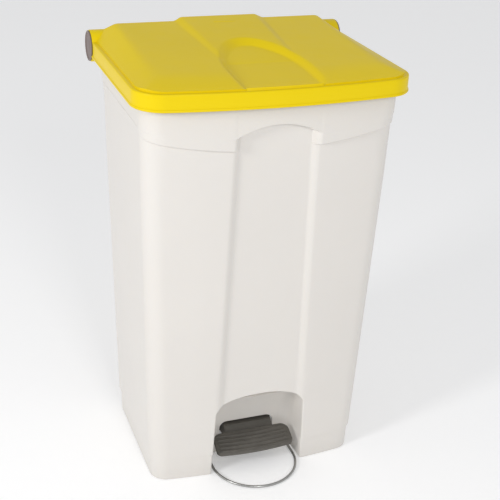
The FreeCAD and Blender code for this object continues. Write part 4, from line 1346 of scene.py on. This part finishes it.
@dataclass
class Lid:
    """The lid: skirt, ledge, dome, ridge, grip recess, back roll and barrels."""

    half: float = 250.0
    front: float = 198.5
    back: float = 203.0
    bow: float = 1500.0
    corner: float = 55.0
    wall: float = 3.0
    skirt_high: float = 797.0
    ledge: float = 8.0
    ledge_step: float = 2.0
    crown_front: float = -133.0
    crown_high: float = 809.0
    crown_slope: float = 0.0605
    crown_bow: float = 0.00044
    side_run: float = 40.0
    ridge_start: float = -62.0
    ridge_run: float = 235.0
    ridge_half: tuple[float, float] = (72.0, 19.0)
    ridge_slope: tuple[float, float] = (12.0, 7.0)
    ridge_rise: float = 5.6
    recess_depth: float = 8.4
    recess_lip: float = 0.42
    recess_half: float = 80.0
    recess_spring: float = -120.0
    recess_rise: float = 166.0
    recess_slope: tuple[float, float] = (14.0, 11.0)
    back_edge: float = 172.0
    barrel: float = 29.6
    barrel_inner: float = 220.0
    pad: tuple[tuple[float, float], ...] = ((-22.0, 22.0), (136.0, 174.0), (822.0, 829.6))

    ACROSS = 161
    EDGE = (
        (8.1, 797.2), (8.1, 796.4), (7.7, 796.05), (7.2, 796.0), (4.6, 796.0), (2.6, 796.05),
        (1.6, 795.9), (0.8, 795.45), (0.25, 794.7), (0.0, 793.6), (0.0, 784.0), (0.0, 775.0),
        (0.0, 771.4), (-0.15, 770.7), (-0.8, 770.2), (-1.35, 769.6), (-1.6, 768.6), (-1.6, 767.4),
        (-1.35, 766.5), (-0.7, 766.0), (1.5, 766.0), (3.0, 766.0),
    )
    BARREL_PROFILE = (
        (10.1, 0.0), (28.4, 0.0), (29.6, 1.2), (29.6, 28.8), (28.9, 30.0), (26.6, 30.0),
        (26.6, 4.0), (14.0, 4.0), (14.0, 29.4), (10.1, 29.4), (10.1, 0.0),
    )

    def loop(self, inset: float) -> tuple[np.ndarray, np.ndarray]:
        """The lid's edge in plan.

        Args:
            inset: How far it is set in from the skirt.

        Returns:
            The right side's points from the back to the front, and the front row's points.
        """
        half, front = self.half - inset, self.front - inset
        radius, bow = self.corner - inset, self.bow - inset
        centre_x = half - radius
        centre_y = bow - front - math.sqrt((bow - radius) ** 2 - centre_x**2)
        lean = math.asin(centre_x / (bow - radius))
        side = [(half, y) for y in np.linspace(self.back - inset, centre_y, 106)]
        corner, _ = arc((centre_x, centre_y), radius, 0.0, lean - RIGHT_ANGLE, 26)
        end = bow * math.sin(lean)
        across = np.linspace(-end, end, self.ACROSS)
        row = np.stack([across, bow - front - np.sqrt(bow**2 - across**2)], axis=1)
        return np.vstack([side, corner]), row

    def crown(self, y: np.ndarray) -> np.ndarray:
        """The height of the dome's sloping top."""
        return self.crown_high + (y - self.crown_front) * self.crown_slope

    def top(self, x: np.ndarray, y: np.ndarray) -> np.ndarray:
        """The lid's height at a point in plan.

        Args:
            x: Across.
            y: Along, front to back.

        Returns:
            Heights in millimetres.
        """
        base = self.skirt_high + self.ledge_step
        crown_front = self.crown_front + self.crown_bow * x**2
        foot_front = self.ledge - self.front + x**2 / (2 * self.bow)
        recess = self.recess(x, y)
        steep = (self.crown(crown_front) - base) / (crown_front - foot_front)
        from_front = base + (y - foot_front) * steep * (1.0 - self.recess_lip * recess)
        inward = self.half - self.ledge - np.abs(x)
        from_side = base + inward * (self.crown(y) - base) / self.side_run
        along = np.clip((y - self.ridge_start) / self.ridge_run, 0.0, 1.0)
        half, spread = self.ridge_half
        slope, widen = self.ridge_slope
        band = ramp(half + spread * along - np.abs(x), slope + widen * along, 0.25)
        level = self.crown(y) + self.ridge_rise * along**0.6 * band - self.recess_depth * recess
        beyond = np.maximum(y - self.back_edge - 6.0 * band, 0.0)
        height = soft_min(soft_min(from_side, level, 3.4), from_front, 1.6)
        return soft_min(height, level - beyond * (1.0 + 0.1 * band), 5.0)

    def recess(self, x: np.ndarray, y: np.ndarray) -> np.ndarray:
        """The share of the grip recess's depth at a point.

        Args:
            x: Across.
            y: Along, front to back.

        Returns:
            0 outside the recess, 1 on its floor.
        """
        inside = arch_inside(x, y, self.recess_half, self.recess_spring, self.recess_rise, 2.05)
        slope, widen = self.recess_slope
        return ramp(inside / (slope + widen * smooth(y, -70.0, 30.0)), 1.0, 0.2)

    def plan(self) -> np.ndarray:
        """The top's surface.

        Returns:
            Points as rows from back to front.
        """
        side, row = self.loop(self.ledge)
        share = np.linspace(-1.0, 1.0, self.ACROSS)
        low, straight = side[-1][1], 60.0
        rows = []
        for half, y in side:
            follow = np.clip((straight - y) / (straight - low), 0.0, 1.0) ** 2
            rows.append(np.stack([share * half, y + (row[:, 1] - low) * follow], axis=1))
        flat = np.array(rows)
        return np.dstack([flat, self.top(flat[:, :, 0], flat[:, :, 1])])

    def rim_loop(self, inset: float, z: float) -> np.ndarray:
        """The edge at an inset and a height.

        Args:
            inset: How far it is set in from the skirt.
            z: Its height.

        Returns:
            Points from the back left round the front to the back right.
        """
        side, row = self.loop(inset)
        flat = np.vstack([side * MIRROR[:2], row[1:-1], side[::-1]])
        return np.column_stack([flat, np.full(len(flat), z)])

    def skin(self) -> Thing:
        """The dome, ledge, skirt and bead as one thin shell.

        Returns:
            One closed mesh.
        """
        top = self.plan()
        edge = np.vstack([top[:, 0], top[-1, 1:-1], top[::-1, -1]])
        rows = [edge] + [self.rim_loop(inset, z) for inset, z in self.EDGE]
        sheet = Sheet()
        sheet.grid(top * MM)
        sheet.grid(np.array(rows) * MM)
        return thicken(sheet.make("lid_skin", merge=2e-5), self.wall)

    def roll(self) -> list[Thing]:
        """The hollow back roll and the barrels that hold the pins.

        Returns:
            The pieces.
        """
        angles = np.radians(np.linspace(178.0, -92.0, 56))
        way = np.stack([np.cos(angles), np.sin(angles)], axis=1)
        outer = np.array(HINGE) + self.barrel * way
        inner = np.array(HINGE) + (self.barrel - self.wall) * way
        wide = self.barrel_inner + 0.5
        made = [prism("back_roll", np.vstack([outer, inner[::-1]]), Axis.X, (-wide, wide))]
        for side in SIDES:
            start = (side * self.barrel_inner, *HINGE)
            made.append(turned("barrel", self.BARREL_PROFILE, start, (side, 0, 0), 96))
        return made

    def build(self, finishes: Finishes) -> None:
        """Builds and dresses the lid.

        Args:
            finishes: The finishes.
        """
        lid = join("lid", [self.skin(), *self.roll(), block("lever_pad", self.pad, 1.5)])
        hand_in(shade(lid, 40.0), Body.LID, "yellow_plastic", finishes, "lid_cover")


# ---------------------------------------------------------------- pins, pedal and wire


class HingePins:
    """The two hinge pins with their dished caps."""

    PROFILE = (
        (0.0, 191.0), (9.0, 191.0), (10.0, 192.2), (10.0, 250.3), (27.6, 250.3), (28.4, 251.0),
        (28.4, 252.0), (27.4, 253.0), (25.8, 253.0), (24.6, 252.2), (23.9, 251.6), (12.0, 251.6),
        (10.8, 251.9), (9.4, 252.2), (0.0, 252.2),
    )

    def build(self, finishes: Finishes) -> None:
        """Builds and dresses both pins.

        Args:
            finishes: The finishes.
        """
        for side, word in zip(SIDES, ("left", "right")):
            pin = turned(f"pin_{word}", self.PROFILE, (0.0, *HINGE), (side, 0, 0), 96)
            hand_in(shade(pin, 40.0), Body.STAND, "pin_plastic", finishes, f"hinge_pin_{word}")


@dataclass
class Tread:
    """The ribbed tread with a bowed front lip, drawn level and then leant to its place."""

    half: float = 80.0
    deep: float = 47.0
    bow: float = 4.5
    thick: float = 6.0
    lip: float = 9.0
    lip_fall: float = 1.6
    corner_back: float = 17.0
    corner_front: float = 9.0
    edge_round: float = 2.4
    ribs: int = 5
    rib_first: float = 6.5
    rib_pitch: float = 8.6
    rib_rise: float = 1.5
    rib_margin: float = 7.0
    tilt: float = 24.0
    back_edge: tuple[float, float, float] = (0.0, -97.0, 55.8)
    around: int = 240
    rings: int = 46

    def from_front(self, x: np.ndarray, y: np.ndarray) -> np.ndarray:
        """How far a point is behind the bowed front edge."""
        return y + self.deep + self.bow * (1.0 - (x / self.half) ** 2)

    def reach(self, x: np.ndarray, y: np.ndarray) -> np.ndarray:
        """How far a point is inside the tread's rounded outline.

        Args:
            x: Across.
            y: Along, with the back edge at 0.

        Returns:
            The distance, positive inside.
        """
        corner = np.where(y > -self.deep / 2, self.corner_back, self.corner_front)
        side = self.half - np.abs(x)
        end = np.minimum(-y, self.from_front(x, y))
        across, along = corner - side, corner - end
        rounded = corner - np.hypot(np.maximum(across, 0.0), np.maximum(along, 0.0))
        return np.where((across > 0.0) & (along > 0.0), rounded, np.minimum(side, end))

    def outline(self) -> np.ndarray:
        """The tread's edge, found by halving the distance along each ray from its middle.

        Returns:
            Offsets from the middle, all the way round.
        """
        angles = np.linspace(0.0, 2.0 * math.pi, self.around, endpoint=False)
        way = np.stack([np.cos(angles) * self.half, np.sin(angles) * self.deep / 2], axis=1)
        low, high = np.zeros(self.around), np.full(self.around, 1.6)
        for _ in range(22):
            middle = (low + high) / 2
            spot = way * middle[:, None] - (0.0, self.deep / 2)
            inside = self.reach(spot[:, 0], spot[:, 1]) > 0.0
            low, high = np.where(inside, middle, low), np.where(inside, high, middle)
        return way * low[:, None]

    def height(self, x: np.ndarray, y: np.ndarray) -> np.ndarray:
        """The top's height: ribs that follow the front's bow, a soft rim and a lip rolled down.

        Args:
            x: Across.
            y: Along, with the back edge at 0.

        Returns:
            Heights in millimetres.
        """
        front = self.from_front(x, y)
        phase = (front - self.rib_first) / self.rib_pitch
        on_rib = (phase > -0.2) & (phase < self.ribs - 0.35)
        ends = smooth(self.half - self.rib_margin - np.abs(x), 0.0, 3.0)
        wave = smooth(np.abs((phase - np.round(phase)) * self.rib_pitch), 2.6, 1.2)
        rib = np.where(on_rib, wave, 0.0) * self.rib_rise * ends
        edge = np.maximum(self.edge_round - self.reach(x, y), 0.0)
        roll = self.edge_round - np.sqrt(np.maximum(self.edge_round**2 - edge**2, 0.0))
        return self.thick + rib - roll - self.lip_fall * smooth(7.0 - front, 0.0, 7.0)

    def build(self, finishes: Finishes) -> None:
        """Builds and dresses the tread.

        Args:
            finishes: The finishes.
        """
        shares = 1.0 - np.concatenate([[0.0], np.geomspace(0.006, 1.0, self.rings)])
        flat = shares[:, None, None] * self.outline() - (0.0, self.deep / 2)
        top = np.dstack([flat, self.height(flat[:, :, 0], flat[:, :, 1])])
        outer = top[0]
        front = smooth(-outer[:, 1], self.deep * 0.55, self.deep * 0.95)
        drop = self.thick + (self.lip - self.thick) * front - 1.2
        sides = []
        for share, pull in ((0.35, 0.0), (0.8, 0.0), (0.95, 0.6), (1.0, 1.6)):
            ring = outer.copy()
            ring[:, 2] = outer[:, 2] - (outer[:, 2] - self.thick + drop) * share
            ring[:, :2] *= 1.0 - pull / self.half
            sides.append(ring)
        middle = sides[-1].mean(axis=0)
        under = [middle + (sides[-1] - middle) * share for share in (0.93, 0.5)]
        under[0][:, 2] = sides[-1][:, 2]
        under[1][:, 2] = 0.4
        sheet = Sheet()
        index = sheet.grid(np.concatenate([top[::-1], np.array(sides + under)]) * MM, loop=True)
        sheet.cap(index[-1])
        tread = sheet.make("tread", merge=1e-6)
        lean = Matrix.Rotation(math.radians(self.tilt), 4, "X")
        tread.data.transform(Matrix.Translation(Vector(self.back_edge) * MM) @ lean)
        hand_in(shade(tread, 50.0), Body.PEDAL, "grey_plastic", finishes, "pedal_tread")


@dataclass
class StabiliserLoop:
    """The steel wire loop on the floor in front of the bin."""

    radius: float = 85.0
    front: float = 127.0
    back: float = 55.0
    height: float = 3.2
    wire: float = 2.5
    bend: float = 10.0
    top: float = 74.0

    def build(self, finishes: Finishes) -> None:
        """Builds and dresses the loop.

        Args:
            finishes: The finishes.
        """
        knee = self.height + self.bend
        right = [(self.radius, -self.back, z) for z in np.linspace(self.top, knee, 5)]
        for angle in np.radians(np.linspace(0.0, 90.0, 9))[1:]:
            right.append((
                self.radius,
                -self.back - self.bend + self.bend * math.cos(angle),
                knee - self.bend * math.sin(angle),
            ))
        straight = np.linspace(-self.back - self.bend - 8.0, -self.front + 3.0, 6)
        right += [(self.radius, y, self.height) for y in straight]
        bow = [
            (
                self.radius * math.cos(angle),
                -self.front - self.radius * math.sin(angle),
                self.height,
            )
            for angle in np.linspace(0.0, math.pi, 65)
        ]
        left = [(-x, y, z) for x, y, z in reversed(right)]
        loop = tube("wire_loop", np.array(right + bow + left), self.wire, 18)
        hand_in(shade(loop, 60.0), Body.STAND, "wire_steel", finishes, "stabiliser_loop")


# ---------------------------------------------------------------- what stays from the frame


class CarriedPieces:
    """The CAD pieces that are shown as they are, each with its own finish."""

    def __init__(self, frame: dict) -> None:
        self.frame = frame

    def build(self, finishes: Finishes) -> None:
        """Dresses every CAD node that is still shown.

        Args:
            finishes: The finishes.
        """
        parts = self.frame["record"]["subparts"]
        slots = {part["node"]: part["material_slot"] for part in parts}
        for name, node in self.frame["nodes"].items():
            if node.hide_render:
                continue
            finishes.dress(node, slots[name])
            log.info("%s carried over with %s", name, slots[name])


# ---------------------------------------------------------------- the studio


@dataclass(frozen=True)
class Lamp:
    """A round soft lamp: where it is, what it is aimed at, its size and its power."""

    name: str
    spot: tuple[float, float, float]
    aim: tuple[float, float, float]
    size: float
    power: float

    def build(self) -> None:
        """Puts the lamp in the scene."""
        data = bpy.data.lights.new(self.name, "AREA")
        data.shape = "DISK"
        data.size = self.size
        data.energy = self.power
        lamp = place(self.name, data)
        lamp.location = self.spot
        aim = Vector(self.aim) - Vector(self.spot)
        lamp.rotation_euler = aim.to_track_quat("-Z", "Y").to_euler()


@dataclass
class Studio:
    """A pale floor, soft light and the camera, in metres and degrees."""

    floor_half: float = 14.0
    azimuth: float = -20.29
    elevation: float = 24.72
    roll: float = 2.42
    distance: float = 2.0764
    target: tuple[float, float, float] = (0.0154, 0.0330, 0.4316)
    lens: float = 75.67
    shift: tuple[float, float] = (0.0156, -0.0336)

    LAMPS = (
        Lamp("key_light", (-3.0, -1.2, 1.7), (0.0, 0.0, 0.45), 0.7, 36.0),
        Lamp("front_light", (-0.2, -3.1, 2.1), (0.0, 0.0, 0.5), 0.7, 25.0),
    )

    def floor(self) -> None:
        """The floor, a large pale sheet."""
        size = self.floor_half
        corners = [(-size, -size, 0), (size, -size, 0), (size, size, 0), (-size, size, 0)]
        mesh = bpy.data.meshes.new("studio_floor")
        mesh.from_pydata(corners, [], [(0, 1, 2, 3)])
        material, net, shader = new_material("pale_studio_floor")
        grain = net.add("ShaderNodeTexNoise", Scale=3.0).outputs["Fac"]
        tone = net.add("ShaderNodeMapRange", Value=grain, To_Min=0.62, To_Max=0.70)
        net.fill(shader, {
            "Roughness": tone.outputs["Result"],
            "Base Color": (0.9, 0.9, 0.9, 1.0),
            "Specular IOR Level": 0.1,
            "Emission Color": (1.0, 1.0, 1.0, 1.0),
            "Emission Strength": 0.2,
        })
        mesh.materials.append(material)
        place("studio_floor", mesh)

    def sky(self) -> None:
        """A pale sky for the light, and a plain white one behind the bin."""
        world = bpy.data.worlds.new("studio_sky")
        bpy.context.scene.world = world
        world.use_nodes = True
        net = Wiring(world.node_tree)
        soft = world.node_tree.nodes["Background"]
        net.fill(soft, {"Color": (0.98, 0.985, 1.0, 1.0), "Strength": 0.6})
        plain = net.add("ShaderNodeBackground", Color=(1.0, 1.0, 1.0, 1.0), Strength=1.0)
        mix = net.add("ShaderNodeMixShader")
        behind = net.add("ShaderNodeLightPath").outputs["Is Camera Ray"]
        for slot, value in zip(mix.inputs, (behind, soft.outputs[0], plain.outputs[0])):
            net.feed(slot, value)
        net.feed(world.node_tree.nodes["World Output"].inputs["Surface"], mix.outputs[0])

    def camera(self) -> None:
        """The camera at the object's viewing angle."""
        turn, lift, roll = (math.radians(a) for a in (self.azimuth, self.elevation, self.roll))
        level = math.cos(lift)
        forward = Vector((-math.sin(turn) * level, math.cos(turn) * level, -math.sin(lift)))
        right = Vector((math.cos(turn), math.sin(turn), 0.0))
        up = right.cross(forward)
        tilted_right = right * math.cos(roll) + up * math.sin(roll)
        tilted_up = up * math.cos(roll) - right * math.sin(roll)
        data = bpy.data.cameras.new("view_camera")
        data.sensor_width = 36.0
        data.lens = self.lens
        data.shift_x, data.shift_y = self.shift
        camera = place("view_camera", data)
        spot = Vector(self.target) - forward * self.distance
        basis = Matrix((tilted_right, tilted_up, -forward)).transposed().to_4x4()
        camera.matrix_world = Matrix.Translation(spot) @ basis
        bpy.context.scene.camera = camera

    def build(self) -> None:
        """Builds the whole studio."""
        bpy.context.scene.view_settings.view_transform = "Standard"
        self.floor()
        self.sky()
        for lamp in self.LAMPS:
            lamp.build()
        self.camera()


def main() -> None:
    """Builds the bin's looks, piece by piece."""
    logging.basicConfig(level=logging.INFO, format="%(name)s: %(message)s")
    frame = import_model()
    finishes = Finishes()
    for piece in (Tub(), Lid(), HingePins(), Tread(), StabiliserLoop(), CarriedPieces(frame)):
        piece.build(finishes)
    Studio().build()
    log.info("all pieces built")


if __name__ == "__main__":
    main()
